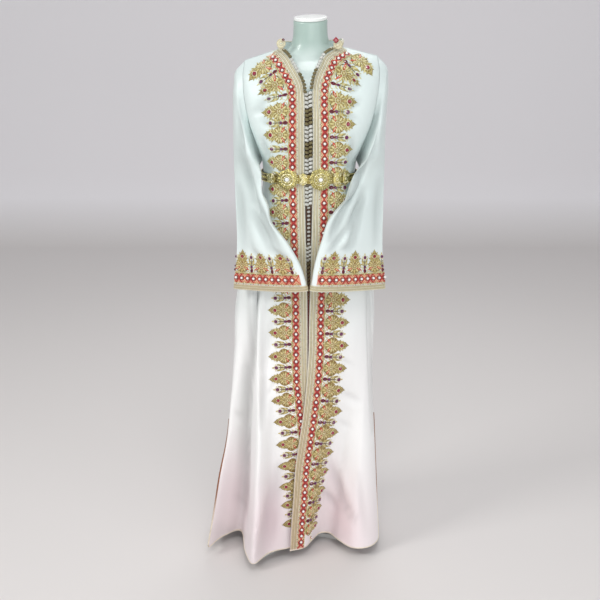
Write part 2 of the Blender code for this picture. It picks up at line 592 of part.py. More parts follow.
def rope(name, path, radius, finish, sides=4):
    """Cord of a few sides along an open path, with flat ends."""
    path = np.asarray(path)
    along = np.gradient(path, axis=0)
    along /= np.linalg.norm(along, axis=1, keepdims=True)
    side = np.cross(along, (0.0, 0.0, 1.0))
    short = np.linalg.norm(side, axis=1) < 0.3
    side[short] = np.cross(along[short], (1.0, 0.0, 0.0))
    for i in range(1, len(side)):
        if side[i] @ side[i - 1] < 0:
            side[i] = -side[i]
    side /= np.linalg.norm(side, axis=1, keepdims=True)
    up = np.cross(side, along)
    turn = np.arange(sides) * 2 * math.pi / sides
    rings = (path[:, None] + radius * (np.cos(turn)[None, :, None] * side[:, None]
                                       + np.sin(turn)[None, :, None] * up[:, None]))
    faces = grid_faces(len(path), sides, 0, True, False)
    last = (len(path) - 1) * sides
    faces += [tuple(range(sides)), tuple(range(last + sides - 1, last - 1, -1))]
    return add_solid(name, rings.reshape(-1, 3), faces, finish)


def make_fronts(cloth, braid, band):
    """Both front panels with the braid and the trellis band along their edges."""
    grids = {}
    for hand, side_name in ((-1, "left"), (1, "right")):
        grid = front_grid(hand, front_labels(hand))
        normal = normals_of(grid)
        if hand > 0:
            normal = -normal
        normal[0, :, 1] = 0.0
        normal[0] /= np.linalg.norm(normal[0], axis=-1, keepdims=True)
        wall(f"front_{side_name}", grid, grid - normal * WALL, cloth)
        below_collar = slice(2, None)
        strip_on(f"front_braid_{side_name}", grid, normal, 0, 1, below_collar, BRAID_THICK, braid)
        strip_on(f"front_band_{side_name}", grid, normal, 1, 2, slice(1, None), BAND_THICK, band)
        grids[hand] = (grid, normal)
    return grids


def make_back(cloth):
    """The back panel in one piece."""
    grid = back_grid()
    normal = -normals_of(grid)
    normal[0, :, 1] = np.where(np.abs(grid[0, :, 1]) < 0.004, 0.0, normal[0, :, 1])
    normal[0] /= np.linalg.norm(normal[0], axis=-1, keepdims=True)
    wall("back", grid, grid - normal * WALL, cloth)
    return grid, normal


def sleeve_skins(hand):
    """Outer grid of a sleeve, its normals and the inner grid."""
    grid = sleeve_grid(hand)
    normal = normals_of(grid, around=True)
    middle = grid.mean(axis=1, keepdims=True)
    if ((grid - middle) * normal).sum() < 0:
        normal = -normal
    inward = -normal
    for _ in range(SMOOTH_PASSES):
        round_it = 2 * inward + np.roll(inward, 1, axis=1) + np.roll(inward, -1, axis=1)
        inward = 2 * round_it
        inward[1:] += round_it[:-1]
        inward[:-1] += round_it[1:]
        inward /= np.linalg.norm(inward, axis=-1, keepdims=True)
    inward[0] = middle[0] - grid[0]    # the seam's rim stays in the plane of the armhole
    inward[0, :, 0] = 0.0
    inward[0] /= np.linalg.norm(inward[0], axis=-1, keepdims=True)
    return grid, normal, grid + inward * SLEEVE_WALL


def make_sleeves(cloth, braid, band):
    """Both sleeves with the two trims round each cuff."""
    for hand, side_name in ((-1, "left"), (1, "right")):
        grid, normal, inner = sleeve_skins(hand)
        wall(f"sleeve_{side_name}", grid, inner, cloth, around=True)
        for trim, row, thick, finish in (("band", -3, BAND_THICK, band),
                                         ("braid", -2, BRAID_THICK, braid)):
            high, low = columns_between(grid.swapaxes(0, 1), row, row + 1, TRIM_EDGE)
            foot = np.stack((high, low))
            lean = np.stack((normal[row], normal[row + 1]))
            wall(f"cuff_{trim}_{side_name}", foot + lean * (TRIM_LIFT + thick),
                 foot + lean * TRIM_LIFT, finish, around=True)


# ---------------------------------------------------------------- collar, buttons, piping
def neck_line(count):
    """Points along the neck seam, from the left front's end round the back to the right's."""
    drops = (0.011, 0.008, 0.004)
    ends = read(FRONT_EDGE, drops)
    left = [(row[0], row[2], COLLAR_SEAM_Z - drop) for row, drop in zip(ends, drops)]
    right = [(row[1], row[2], COLLAR_SEAM_Z - drop) for row, drop in zip(ends, drops)]
    middle = shoulder_line(np.array((0.30, 0.38, 0.44, 0.50, 0.56, 0.62, 0.70)))
    knots = np.concatenate((left, middle, right[::-1]))
    run = np.append(0.0, np.cumsum(np.linalg.norm(np.diff(knots, axis=0), axis=1)))
    return read(np.column_stack((run, knots)), np.linspace(0.0, run[-1], count))


def make_collar(cloth):
    """Stand collar: a stiff strip rising from the neck seam and leaning out a little."""
    foot = neck_line(COLLAR_COLUMNS)
    out = foot[:, :2] - np.array((AXIS_X, 0.010))
    out /= np.linalg.norm(out, axis=1, keepdims=True)
    out = np.column_stack((out, np.zeros(len(out))))
    rows = []
    for share in (0.0, 0.5, 1.0):
        rise = COLLAR_FOOT_GAP + COLLAR_HEIGHT * share
        rows.append(foot + out * COLLAR_LEAN * share + np.array((0.0, 0.0, rise)))
    outer = tilted(np.array(rows))
    wall("collar", outer, outer - out * COLLAR_THICK, cloth)


def make_buttons(grids, knot):
    """Knots on a narrow strip that fills the opening between the two fronts."""
    count = int((BUTTON_TO - BUTTON_FROM) / BUTTON_PITCH)
    drops = BUTTON_FROM + BUTTON_PITCH * np.arange(count + 1)
    edges = []
    for hand in (-1, 1):
        edge = grids[hand][0][:, 0]
        line = np.stack([np.interp(drops, STATIONS, edge[:, axis]) for axis in range(3)], axis=-1)
        line[:, 0] -= hand * BUTTON_SIDE_GAP
        edges.append(line)
    left, right = edges
    columns = [left + (right - left) * share for share in (0.0, 0.28, 0.72, 1.0)]
    back = np.stack(columns, axis=1)
    back[..., 1] += WALL
    front = np.stack(columns, axis=1)
    turn = np.arange(count + 1) % 2
    under_belt = np.abs(COLLAR_SEAM_Z - drops - BELT_Z) < BELT_HEIGHT / 2 + BUTTON_PITCH
    rise = np.where(under_belt, 0.0, BUTTON_RISE)
    front[:, 1, 1] -= rise * turn
    front[:, 2, 1] -= rise * (1 - turn)
    wall("button_knots", front, back, knot)


def make_piping(name, grid, normal, sides, finish):
    """Cord sewn along a panel's slit edges and its hem."""
    open_rows = [r for r in range(len(STATIONS)) if grid[r, sides[0], 2] < SLIT_TOP]
    columns = range(grid.shape[1])
    ends = [side % len(columns) for side in sides]
    route = []
    if -1 in sides:
        route += [(r, len(columns) - 1) for r in open_rows[:-1]]
    route += [(len(STATIONS) - 1, c) for c in reversed(columns)]
    if 0 in sides:
        route += [(r, 0) for r in reversed(open_rows[:-1])]
    reach = PIPING / 2 + TRIM_LIFT
    path = []
    for r, c in route:
        above, beside = grid[r - 1, c], grid[r, c + 1 if c == 0 else c - 1]
        down = (grid[r, c] - above) / np.linalg.norm(grid[r, c] - above)
        off = (grid[r, c] - beside) / np.linalg.norm(grid[r, c] - beside)
        at_hem = r == len(STATIONS) - 1
        at_slit = c in ends or (not at_hem and c in (0, len(columns) - 1))
        shift = down * reach * at_hem + off * (reach + SEAM) * at_slit
        path.append(grid[r, c] + shift - normal[r, c] * WALL / 2)
    rope(name, path, PIPING / 2, finish)


# ---------------------------------------------------------------- belt
def belt_line():
    """Closed line round the waist, at the cloth's outer face, from above (x, y)."""
    drop = COLLAR_SEAM_Z - BELT_Z
    share = np.linspace(0.0, 1.0, 81)
    left = front_row(drop, -1, share)
    right = front_row(drop, 1, share)
    back = back_row(drop, share)
    loop = np.concatenate((left, back[1:-1], right[::-1]))[:, :2]
    closed = np.concatenate((loop, loop[:1]))
    run = np.append(0.0, np.cumsum(np.linalg.norm(np.diff(closed, axis=0), axis=1)))
    return run, closed


def belt_points(at, lift):
    """Points on the belt line at the lengths `at`, moved out by `lift`, and their outward ways."""
    run, line = belt_line()
    at = np.mod(at, run[-1])
    reach = 0.004
    here, ahead, behind = (np.stack([np.interp(np.mod(at + step, run[-1]), run, line[:, axis])
                                     for axis in range(2)], axis=-1)
                           for step in (0.0, reach, -reach))
    way = ahead - behind
    way /= np.linalg.norm(way, axis=1, keepdims=True)
    out = np.stack((way[:, 1], -way[:, 0]), axis=-1)
    if (out * (here - line.mean(axis=0))).sum() < 0:
        out = -out
    return here + out * lift, out


def belt_place(x):
    """Length along the belt line of the front point at `x`."""
    run, line = belt_line()
    front = line[:, 1] < -0.02
    places = np.where(front)[0]
    return run[places[np.argmin(np.abs(line[places, 0] - x))]]


def upright(points, low, high):
    """Two rows of 3-D points from a plan line, at two heights."""
    return np.array([np.column_stack((points, np.full(len(points), z))) for z in (low, high)])


def make_belt(gold, crystal):
    """Band, plates, rosettes and their stones."""
    run, _ = belt_line()
    at = np.arange(BELT_SIDES) * run[-1] / BELT_SIDES
    low, high = BELT_Z - BELT_HEIGHT / 2, BELT_Z + BELT_HEIGHT / 2
    inner, _ = belt_points(at, BELT_LIFT)
    outer, _ = belt_points(at, BELT_LIFT + BELT_THICK)
    wall("belt_band", upright(outer, high, low), upright(inner, high, low), gold, around=True)
    base = BELT_LIFT + BELT_THICK + 0.0005
    for name, x, width, height in PLATES:
        place = belt_place(x) + np.linspace(-width / 2, width / 2, 5)
        near, _ = belt_points(place, base)
        far, _ = belt_points(place, base + PLATE_THICK)
        high, low = BELT_Z + height / 2, BELT_Z - height / 2
        wall(f"belt_{name}", upright(far, high, low), upright(near, high, low), gold)
    for name, x, radius in ROSETTES:
        spot, out = belt_points(np.array((belt_place(x),)), base - ROSETTE_SEAT)
        centre = np.array((*spot[0], BELT_Z))
        way = np.array((*out[0], 0.0))
        lobed = 1 + 0.05 * np.cos(ROSETTE_LOBES * np.arange(ROSETTE_SIDES) * 2 * math.pi
                                  / ROSETTE_SIDES)
        turned(f"rosette_{name}", ROSETTE_RINGS, radius * lobed, centre, way, gold)
        top = centre + way * (ROSETTE_RINGS[-1][1] + 0.0003)
        turned(f"rosette_stone_{name}", STONE_RINGS, np.full(STONE_SIDES, STONE_RADIUS), top,
               way, crystal)


def turned(name, rings, radii, centre, way, finish):
    """Round solid of (radius share, height) rings standing on `centre` along `way`."""
    side = np.array((way[1], -way[0], 0.0))
    up = np.array((0.0, 0.0, 1.0))
    turn = np.arange(len(radii)) * 2 * math.pi / len(radii)
    spoke = np.cos(turn)[:, None] * side + np.sin(turn)[:, None] * up
    layers = [centre + way * height + spoke * (radii * share)[:, None] for share, height in rings]
    capped(name, np.array(layers), finish)


def capped(name, layers, finish):
    """Closed solid from matching loops, with a flat face on each end."""
    rows, sides = layers.shape[:2]
    faces = grid_faces(rows, sides, 0, True, False)
    faces += [tuple(range(sides)), tuple(range(rows * sides - 1, (rows - 1) * sides - 1, -1))]
    return add_solid(name, layers.reshape(-1, 3), faces, finish)


# ---------------------------------------------------------------- dress form and stand
def make_form(gloss, white):
    """Smooth limbless torso with a neck cut at a slant, and the cap on it."""
    heights = np.linspace(FORM[0][0], FORM[-1][0], FORM_ROWS)
    turn = (np.arange(FORM_SIDES) + 0.5) * 2 * math.pi / FORM_SIDES
    layers = []
    for height, (half, front, back, square) in zip(heights, read(FORM, heights)):
        power = 2.0 / square
        across = np.sign(np.sin(turn)) * np.abs(np.sin(turn)) ** power
        along = np.sign(np.cos(turn)) * np.abs(np.cos(turn)) ** power
        depth = np.where(along > 0, front, back)
        layers.append(np.stack((AXIS_X + half * across, np.abs(along) * depth,
                                np.full(FORM_SIDES, height)), axis=-1))
    body = slanted(np.array(layers))
    capped("form_torso", tilted(body), gloss)
    middle = np.array((AXIS_X, (FORM[-1][2] + FORM[-1][3]) / 2))
    rim = np.stack((middle[0] + CAP_RADIUS * np.sin(turn), middle[1] + CAP_RADIUS * np.cos(turn)),
                   axis=-1)
    low = FORM[-1][0] + 0.0004
    cap = np.array([np.column_stack((rim, np.full(FORM_SIDES, z))) for z in (low, low + CAP_THICK)])
    capped("form_cap", tilted(slanted(cap)), white)


def slanted(points):
    """Tip the top of the neck toward the front."""
    tipped = points.copy()
    tipped[..., 2] += NECK_SLANT * points[..., 1] * ease(points[..., 2], 1.530, 0.032)
    return tipped


def make_stand(metal):
    """Pole and a low foot with four arms, all centred on the pole."""
    turn = np.arange(16) * 2 * math.pi / 16
    rim = np.stack((POLE_RADIUS * np.cos(turn), POLE_Y + POLE_RADIUS * np.sin(turn)), axis=-1)
    ends = (FOOT_THICK + SEAM, FORM[0][0] - SEAM)
    capped("stand_pole", np.array([np.column_stack((rim, np.full(16, z))) for z in ends]), metal)
    outline = foot_outline()
    ends = (0.0, FOOT_THICK)
    capped("stand_foot", np.array([np.column_stack((outline, np.full(len(outline), z)))
                                   for z in ends]), metal)


def foot_outline():
    """Plan of the foot: arms with round ends, joined by the hub's arcs."""
    arms = sorted(FEET, key=lambda foot: math.atan2(foot[1], foot[0]))
    half = FOOT_WIDTH / 2
    spread = math.asin(half / HUB_RADIUS)
    angles = [math.atan2(y, x) for x, y in arms]
    points = []

    def on_hub(angle):
        points.append((HUB_RADIUS * math.cos(angle), HUB_RADIUS * math.sin(angle)))

    for i, (angle, (x, y)) in enumerate(zip(angles, arms)):
        on_hub(angle - spread)
        for step in range(7):
            round_end = angle - math.pi / 2 + step * math.pi / 6
            points.append((x + half * math.cos(round_end), y + half * math.sin(round_end)))
        on_hub(angle + spread)
        following = angles[(i + 1) % len(arms)] + (2 * math.pi if i + 1 == len(arms) else 0.0)
        gap = (following - spread) - (angle + spread)
        for step in (1, 2):
            on_hub(angle + spread + gap * step / 3)
    return np.array(points) + np.array((0.0, POLE_Y))


# ---------------------------------------------------------------- build
def clear_scene():
    """Remove whatever the scene holds."""
    for item in list(bpy.data.objects):
        bpy.data.objects.remove(item, do_unlink=True)


def main():
    """Build every piece of the kaftan, then the form and its stand."""
    clear_scene()
    cloth = material("ivory_crepe", (0.86, 0.87, 0.84), 0.55)
    braid = material("champagne_braid", (0.66, 0.54, 0.34), 0.45)
    band = material("coral_band", (0.62, 0.16, 0.10), 0.60)
    knot = material("silver_knots", (0.60, 0.58, 0.50), 0.50)
    cord = material("copper_cord", (0.42, 0.20, 0.12), 0.60)
    gold = material("filigree_gold", (0.72, 0.56, 0.20), 0.30, 1.0)
    crystal = material("crystal", (0.80, 0.84, 0.86), 0.08)
    gloss = material("gloss_form", (0.66, 0.76, 0.70), 0.12)
    white = material("white_cap", (0.88, 0.89, 0.88), 0.30)
    metal = material("stand_metal", (0.70, 0.71, 0.72), 0.30, 1.0)

    fronts = make_fronts(cloth, braid, band)
    back = make_back(cloth)
    make_sleeves(cloth, braid, band)
    make_collar(cloth)
    make_buttons(fronts, knot)
    make_piping("piping_left", *fronts[-1], (-1,), cord)
    make_piping("piping_right", *fronts[1], (-1,), cord)
    make_piping("piping_back", *back, (0, -1), cord)
    make_belt(gold, crystal)
    make_form(gloss, white)
    make_stand(metal)


main()
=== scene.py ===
"""Dressed model of a Moroccan kaftan on a limbless dress form.

The cloth is worked out again from the maker's draft, on a finer grid than the frame's,
and carries its creases, embroidery, braids, knots, pearls and belt as meshes of their own.
"""

import logging
import math
from dataclasses import dataclass, field
from enum import Enum
from functools import cache
from typing import Any, Sequence

import bpy
import numpy as np
from bpy.types import Material, Node, NodeSocket, NodeTree, Object
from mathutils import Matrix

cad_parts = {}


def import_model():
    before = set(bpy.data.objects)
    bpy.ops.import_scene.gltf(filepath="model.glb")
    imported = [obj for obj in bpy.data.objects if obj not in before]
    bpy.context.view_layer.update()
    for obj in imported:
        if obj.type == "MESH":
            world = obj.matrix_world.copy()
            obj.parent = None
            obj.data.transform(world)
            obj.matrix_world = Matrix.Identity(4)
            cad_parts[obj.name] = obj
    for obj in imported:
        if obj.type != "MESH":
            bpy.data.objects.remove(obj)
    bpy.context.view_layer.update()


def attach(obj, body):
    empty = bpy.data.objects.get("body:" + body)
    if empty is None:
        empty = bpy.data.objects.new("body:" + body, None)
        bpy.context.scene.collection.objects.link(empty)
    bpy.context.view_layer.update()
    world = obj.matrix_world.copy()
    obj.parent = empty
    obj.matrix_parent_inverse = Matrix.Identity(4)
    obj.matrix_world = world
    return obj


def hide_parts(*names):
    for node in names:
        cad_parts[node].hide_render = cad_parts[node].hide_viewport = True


Array = np.ndarray
Table = Sequence[Sequence[float]]
LOG = logging.getLogger("kaftan")
TONE_LAYER = "tone"
UP = np.array((0.0, 0.0, 1.0))


# ---------------------------------------------------------------- tones and finishes
def linear(rgb: Sequence[float]) -> Array:
    """Scene-linear colour of a display colour with channels from 0 to 255."""
    share = np.asarray(rgb, float) / 255.0
    return np.where(share <= 0.04045, share / 12.92, ((share + 0.055) / 1.055) ** 2.4)


class Tone(Enum):
    """Display colours of the threads, stones, pearls and knots, of the sheet of painted shade between
    the fronts, and of the white form under painted mint light, with painted shade on its neck.
    """

    UMBER = (160, 136, 84)
    OLIVE = (178, 168, 106)
    MOSS = (122, 108, 58)
    GOLD = (222, 212, 150)
    PALE = (250, 245, 212)
    CREAM = (240, 232, 205)
    WHITE = (246, 246, 242)
    ORANGE = (224, 128, 72)
    CORAL = (214, 78, 62)
    MAGENTA = (146, 26, 58)
    BURGUNDY = (92, 14, 38)
    PURPLE = (104, 36, 84)
    COPPER = (158, 98, 62)
    CHAMPAGNE = (247, 244, 224)
    STRAW = (230, 222, 188)
    SILVER = (226, 228, 222)
    DARK_OLIVE = (130, 120, 84)
    # Painted shade: the dark sheet between the knots and in the gap between the fronts, red-brown low
    # down.
    GAP_SHADE_BROWN = (86, 62, 44)
    GAP_SHADE_RED = (104, 46, 38)
    RUBY = (150, 22, 44)
    # Painted shade: the same sheet, paler where it shows between white knots.
    GAP_SHADE_PALE = (150, 140, 118)
    SHELL = (252, 240, 222)
    # The white form under painted mint light on its chest, and painted grey-green shade on its neck.
    FORM_PAINTED_MINT_LIGHT = (228, 242, 238)
    SAGE = (172, 194, 186)

    @property
    def colour(self) -> Array:
        """The tone in scene-linear values."""
        return linear(self.value)


def colours(tone: Any) -> Array:
    """Scene-linear colour of a tone, or the given colours as an array."""
    return np.asarray(tone.colour if isinstance(tone, Tone) else tone, float)


def mixed(first: Any, second: Any, share: Any) -> Array:
    """The first tone with a share of the second."""
    return colours(first) * (1 - share) + colours(second) * share


def node(tree: NodeTree, kind: str, inputs: dict[Any, Any] | None = None,
         **settings: Any) -> Node:
    """Add a shader node, set its properties, and fill or link its inputs.

    Args:
        tree: the tree that takes the node.
        kind: the node's type name without its "ShaderNode" start.
        inputs: values or output sockets, by input name or number.
        settings: the node's own properties.

    Returns:
        The new node.
    """
    made = tree.nodes.new("ShaderNode" + kind)
    for name, value in settings.items():
        setattr(made, name, value)
    for key, value in (inputs or {}).items():
        if isinstance(value, NodeSocket):
            tree.links.new(value, made.inputs[key])
        else:
            made.inputs[key].default_value = value
    return made


def maths(tree: NodeTree, operation: str, *values: Any) -> NodeSocket:
    """Output of a Math node of that operation on the given values or sockets."""
    return node(tree, "Math", dict(enumerate(values)), operation=operation).outputs[0]


def node_group(name: str, inputs: dict[str, float | str],
               output: tuple[str, str]) -> tuple[NodeTree, Any, NodeSocket]:
    """Start a node group with named sockets.

    Args:
        name: the group's name.
        inputs: the default of a number, or the kind of another input, by label.
        output: label and kind of the output.

    Returns:
        The tree, the sockets that give its inputs, and the socket that takes its output.
    """
    tree = bpy.data.node_groups.new(name, "ShaderNodeTree")
    for label, value in inputs.items():
        kind = value if isinstance(value, str) else "Float"
        socket = tree.interface.new_socket(label, in_out="INPUT", socket_type="NodeSocket" + kind)
        if kind == "Float":
            socket.default_value = value
    tree.interface.new_socket(output[0], in_out="OUTPUT", socket_type="NodeSocket" + output[1])
    given = tree.nodes.new("NodeGroupInput").outputs
    return tree, given, tree.nodes.new("NodeGroupOutput").inputs[0]


@cache
def weave() -> NodeTree:
    """Crepe: sin(x) times sin(y) of the thread count, crinkled by a fine noise."""
    tree, given, out = node_group("crepe_weave", {"Vector": "Vector", "Threads": 1400.0,
                                                  "Crinkle": 0.6}, ("Height", "Float"))
    parts = node(tree, "SeparateXYZ", {0: given["Vector"]}).outputs
    waves = [maths(tree, "SINE", maths(tree, "MULTIPLY", parts[axis], given["Threads"]))
             for axis in (0, 1)]
    noise = node(tree, "TexNoise", {"Vector": given["Vector"], "Scale": 420.0, "Detail": 3.0,
                                    "Roughness": 0.6})
    crinkle = maths(tree, "MULTIPLY", noise.outputs[0], given["Crinkle"])
    plain = maths(tree, "MULTIPLY", maths(tree, "MULTIPLY", *waves), 0.35)
    tree.links.new(maths(tree, "ADD", plain, crinkle), out)
    return tree


@cache
def twist() -> NodeTree:
    """Twisted or satin-stitched thread: sin of the run along it plus a lean across it."""
    tree, given, out = node_group("thread_twist", {"Vector": "Vector", "Per Metre": 4000.0,
                                                   "Lean": 1.0}, ("Height", "Float"))
    parts = node(tree, "SeparateXYZ", {0: given["Vector"]}).outputs
    run = maths(tree, "ADD", parts[0], maths(tree, "MULTIPLY", parts[1], given["Lean"]))
    wave = maths(tree, "SINE", maths(tree, "MULTIPLY", run, given["Per Metre"]))
    tree.links.new(maths(tree, "MULTIPLY_ADD", wave, 0.5, 0.5), out)
    return tree


@cache
def mottle() -> NodeTree:
    """A colour lightened and darkened by soft noise of a given scale and strength."""
    tree, given, out = node_group("mottle", {"Colour": "Color", "Vector": "Vector",
                                             "Scale": 60.0, "Strength": 0.2},
                                  ("Colour", "Color"))
    noise = node(tree, "TexNoise", {"Vector": given["Vector"], "Scale": given["Scale"],
                                    "Detail": 4.0})
    swing = maths(tree, "SUBTRACT", noise.outputs[0], 0.5)
    level = maths(tree, "ADD", maths(tree, "MULTIPLY", swing, given["Strength"]), 1.0)
    scaled = node(tree, "VectorMath", {0: given["Colour"], 1: level}, operation="MULTIPLY")
    tree.links.new(scaled.outputs[0], out)
    return tree


@dataclass(frozen=True)
class Finish:
    """A finish: what the piece's tone attribute, or one colour, is made of."""

    name: str
    colour: tuple[float, float, float] | None = None   # None takes the tone attribute
    roughness: float = 0.5
    metallic: float = 0.0
    coat: float = 0.0
    sheen: float = 0.0
    threads: float = 0.0       # woven ridges for each metre of the UV map
    twists: float = 0.0        # turns of thread for each metre of the UV map
    lean: float = 1.0
    relief: float = 0.0002     # height of the bump, in metres
    mottled: float = 0.15
    mottle_scale: float = 60.0

    @cache
    def material(self) -> Material:
        """The Principled material of the finish, built once."""
        made = bpy.data.materials.new(self.name)
        made.use_nodes = True
        tree = made.node_tree
        shader = tree.nodes["Principled BSDF"].inputs
        place = node(tree, "TexCoord").outputs
        colour = ((*linear(self.colour), 1.0) if self.colour else
                  node(tree, "Attribute", attribute_name=TONE_LAYER).outputs["Color"])
        varied = node(tree, "Group", {"Colour": colour, "Vector": place["Object"],
                                      "Scale": self.mottle_scale, "Strength": self.mottled},
                      node_tree=mottle())
        for label, value in (("Roughness", self.roughness), ("Metallic", self.metallic),
                             ("Coat Weight", self.coat), ("Coat Roughness", 0.08),
                             ("Sheen Weight", self.sheen), ("Sheen Roughness", 0.4)):
            shader[label].default_value = value
        bump = node(tree, "Bump", {"Strength": 1.0, "Distance": self.relief,
                                   "Height": self._height(tree, place)})
        tree.links.new(varied.outputs[0], shader["Base Color"])
        tree.links.new(bump.outputs[0], shader["Normal"])
        return made

    def _height(self, tree: NodeTree, place: Any) -> NodeSocket:
        """Height of the finish's relief: its weave, its twist, or a fine noise."""
        if self.threads:
            made = node(tree, "Group", {"Vector": place["UV"], "Threads": self.threads},
                        node_tree=weave())
        elif self.twists:
            made = node(tree, "Group", {"Vector": place["UV"], "Per Metre": self.twists,
                                        "Lean": self.lean}, node_tree=twist())
        else:
            made = node(tree, "TexNoise", {"Vector": place["Object"], "Scale": 350.0,
                                           "Detail": 3.0})
        return made.outputs[0]


CREPE = Finish("satin_crepe", None, 0.38, sheen=0.25, threads=2600.0, relief=0.00012,
               mottled=0.05, mottle_scale=9.0)
THREAD = Finish("silk_and_gold_thread", None, 0.36, metallic=0.12, twists=7000.0, lean=0.5,
                relief=0.00025, mottled=0.5, mottle_scale=260.0)
CORD = Finish("champagne_cord", None, 0.42, metallic=0.05, twists=2600.0, lean=1.6,
              relief=0.0004, mottled=0.3, mottle_scale=160.0)
BAND = Finish("coral_satin_stitch", None, 0.5, twists=5200.0, relief=0.0003, mottled=0.5,
              mottle_scale=220.0)
KNOT = Finish("knotted_cord", None, 0.34, metallic=0.2, twists=2600.0, lean=2.0,
              relief=0.0004, mottled=0.35, mottle_scale=200.0)
STONE = Finish("facetted_stone", None, 0.06, coat=1.0, relief=0.0, mottled=0.1)
PEARL = Finish("pearl", None, 0.18, coat=0.8, sheen=0.1, relief=0.0, mottled=0.05)
FILIGREE = Finish("gold_filigree", None, 0.30, metallic=0.92, relief=0.0003, mottled=0.35,
                  mottle_scale=180.0)
CRYSTAL = Finish("clear_crystal", (236, 240, 244), 0.03, coat=1.0, relief=0.0, mottled=0.05)
# The form is white lacquer; its mint comes from the tone attribute, painted light.
GLOSS = Finish("lacquer_with_painted_mint_light", None, 0.30, coat=0.30, relief=0.00005, mottled=0.04,
               mottle_scale=5.0)
CAP = Finish("white_cap", (236, 240, 237), 0.22, coat=0.5, relief=0.00005, mottled=0.04)
STEEL = Finish("pale_painted_steel", (206, 208, 205), 0.35, relief=0.00008, mottled=0.12,
               mottle_scale=30.0)


def metres(rows: Table, *plain: int) -> tuple[tuple[float, ...], ...]:
    """Rows given in millimetres as rows in metres, but for the columns in `plain`."""
    return tuple(tuple(value if k in plain else value / 1000 for k, value in enumerate(row))
                 for row in rows)


# ---------------------------------------------------------------- driving sizes (metres)
WALL, SLEEVE_WALL = 0.0014, 0.0011   # thickness of the crepe
SEAM = 0.0003            # half of the gap left between two pieces at a seam
TRIM_LIFT = 0.0004       # gap between a panel and a trim lying on it
BRAID_WIDTH = 0.0200
BAND_WIDTH = 0.0240      # trellis band beside the braid
PIPING = 0.0030          # diameter of the cord round the hems and slits
COLLAR_SEAM_Z = 1.488    # height of the collar seam at the side of the neck
COLLAR_HEIGHT = 0.027
COLLAR_THICK = 0.0024
COLLAR_LEAN = 0.006      # how far its top stands out over its foot
COLLAR_FOOT_GAP = 0.0012
NECK_SLANT = 0.16        # rise of the neck's cut end, per metre from front to back
SLIT_TOP = 0.43          # height where the side slits stand clearly open
TILT = 0.033             # the form stands with one shoulder this much higher, per metre
TILT_FROM, TILT_OVER = 1.15, 0.25
SIDES = {-1: "left", 1: "right"}   # the object's side at each sign of x
AXIS_X = 0.004           # centre of the neck and back
POLE_Y = 0.040           # the stand's pole is this far behind the draft's axis
CLOSED_DROP = (0.378, 0.290)   # where the rings close, at the inner and outer edge
CUFF_DROP = (0.638, 0.657)     # the cuff's edge, at the inner and outer edge
ARMHOLE_GAP = 0.0005     # the sleeve starts this far out from the armhole's seam
HEAD_SWIFTNESS = 0.31    # the lower, the sooner a sleeve's columns leave the stations of the seam
LEAVE_POWER = 7.0        # the higher, the sooner a sleeve bulges as it leaves the seam

# Front edges: drop below the collar seam, edge of the left front, edge of the right
# front, its depth, and how far the right front laps over the left.
FRONT_EDGE = metres((
    # drop, left_x, right_x, y, lap
    (0, -82, 90, -5, 0),
    (12, -64, 56, -50, 0),
    (46, -40, 27, -85, 0),
    (92, -16, 9.6, -108, 0),
    (125, -12.2, 7.5, -117, 0),
    (200, -11.8, 9.2, -126, 0),
    (290, -11.8, 9.2, -117, 0),
    (346, -11.5, 9.2, -109, 0),
    (430, -10, 8.5, -113, 0),
    (530, -7.5, 6.5, -121, 0),
    (640, -4.5, 3.5, -126, 0),
    (750, -3, 0.8, -124, 0),
    (840, -2.6, -0.6, -122, 2),
    (930, -1, -6.2, -120, 4.5),
    (1020, 0, -15, -118, 5.5),
    (1100, 0, -25.8, -116, 6),
    (1190, 0, -38, -115, 6),
    (1290, 0, -44.4, -113, 6),
    (1385, 0, -51.2, -111, 6),
    (1455, 1, -54.5, -110, 6),
))
# Side edges: shoulder tip, armhole down to the armpit, then the side seam to the hem.
SIDE_EDGE = metres((
    # drop, side_drop, left_x, right_x, left_y, right_y, armhole, square
    (0, 28, -176, 188, 0, 0, 0.6, 2),
    (12, 52, -179, 191, 0, 0, 30, 2),
    (46, 92, -179, 191, 0, 0, 50, 2.1),
    (92, 140, -174, 185, 0, 0, 59, 2.3),
    (125, 182, -166, 176, 0, 0, 60, 2.5),
    (200, 238, -150, 157, 0, 0, 48, 2.8),
    (265, 278, -137, 141, 0, 0, 27, 3),
    (305, 305, -130, 133, 0, 0, 0, 2.9),
    (325, 325, -128, 131, 0, 0, 0, 2.9),
    (346, 346, -127, 130, 0, 0, 0, 2.8),
    (368, 368, -128, 131, 0, 0, 0, 2.8),
    (430, 430, -140, 140, -2, 0, 0, 2.6),
    (530, 530, -168, 164, -8, 0, 0, 2.4),
    (640, 640, -198, 184, -18, -5, 0, 2.3),
    (750, 750, -212.5, 191.5, -30, -8, 0, 2.3),
    (840, 840, -214.5, 190, -38, -10, 0, 2.3),
    (930, 930, -221.5, 189.5, -48, -13, 0, 2.3),
    (1020, 1020, -230, 193, -58, -16, 0, 2.3),
    (1120, 1120, -240, 198.5, -68, -20, 0, 2.3),
    (1240, 1240, -262, 204.5, -83, -26, 0, 2.3),
    (1385, 1385, -285.5, 211.5, -99, -33, 0, 2.3),
    (1455, 1455, -298.5, 215, -108, -38, 0, 2.3),
), 7)
ARMPIT_DROP = 0.305
BACK_EDGE = metres((
    # drop, back_drop, y
    (0, 4, 62),
    (12, 32, 78),
    (46, 65, 90),
    (92, 112, 98),
    (125, 150, 102),
    (200, 212, 102),
    (265, 265, 96),
    (325, 325, 85),
    (346, 346, 84),
    (368, 368, 85),
    (430, 430, 94),
    (530, 530, 112),
    (640, 640, 124),
    (840, 840, 138),
    (1120, 1120, 158),
    (1455, 1455, 182),
))
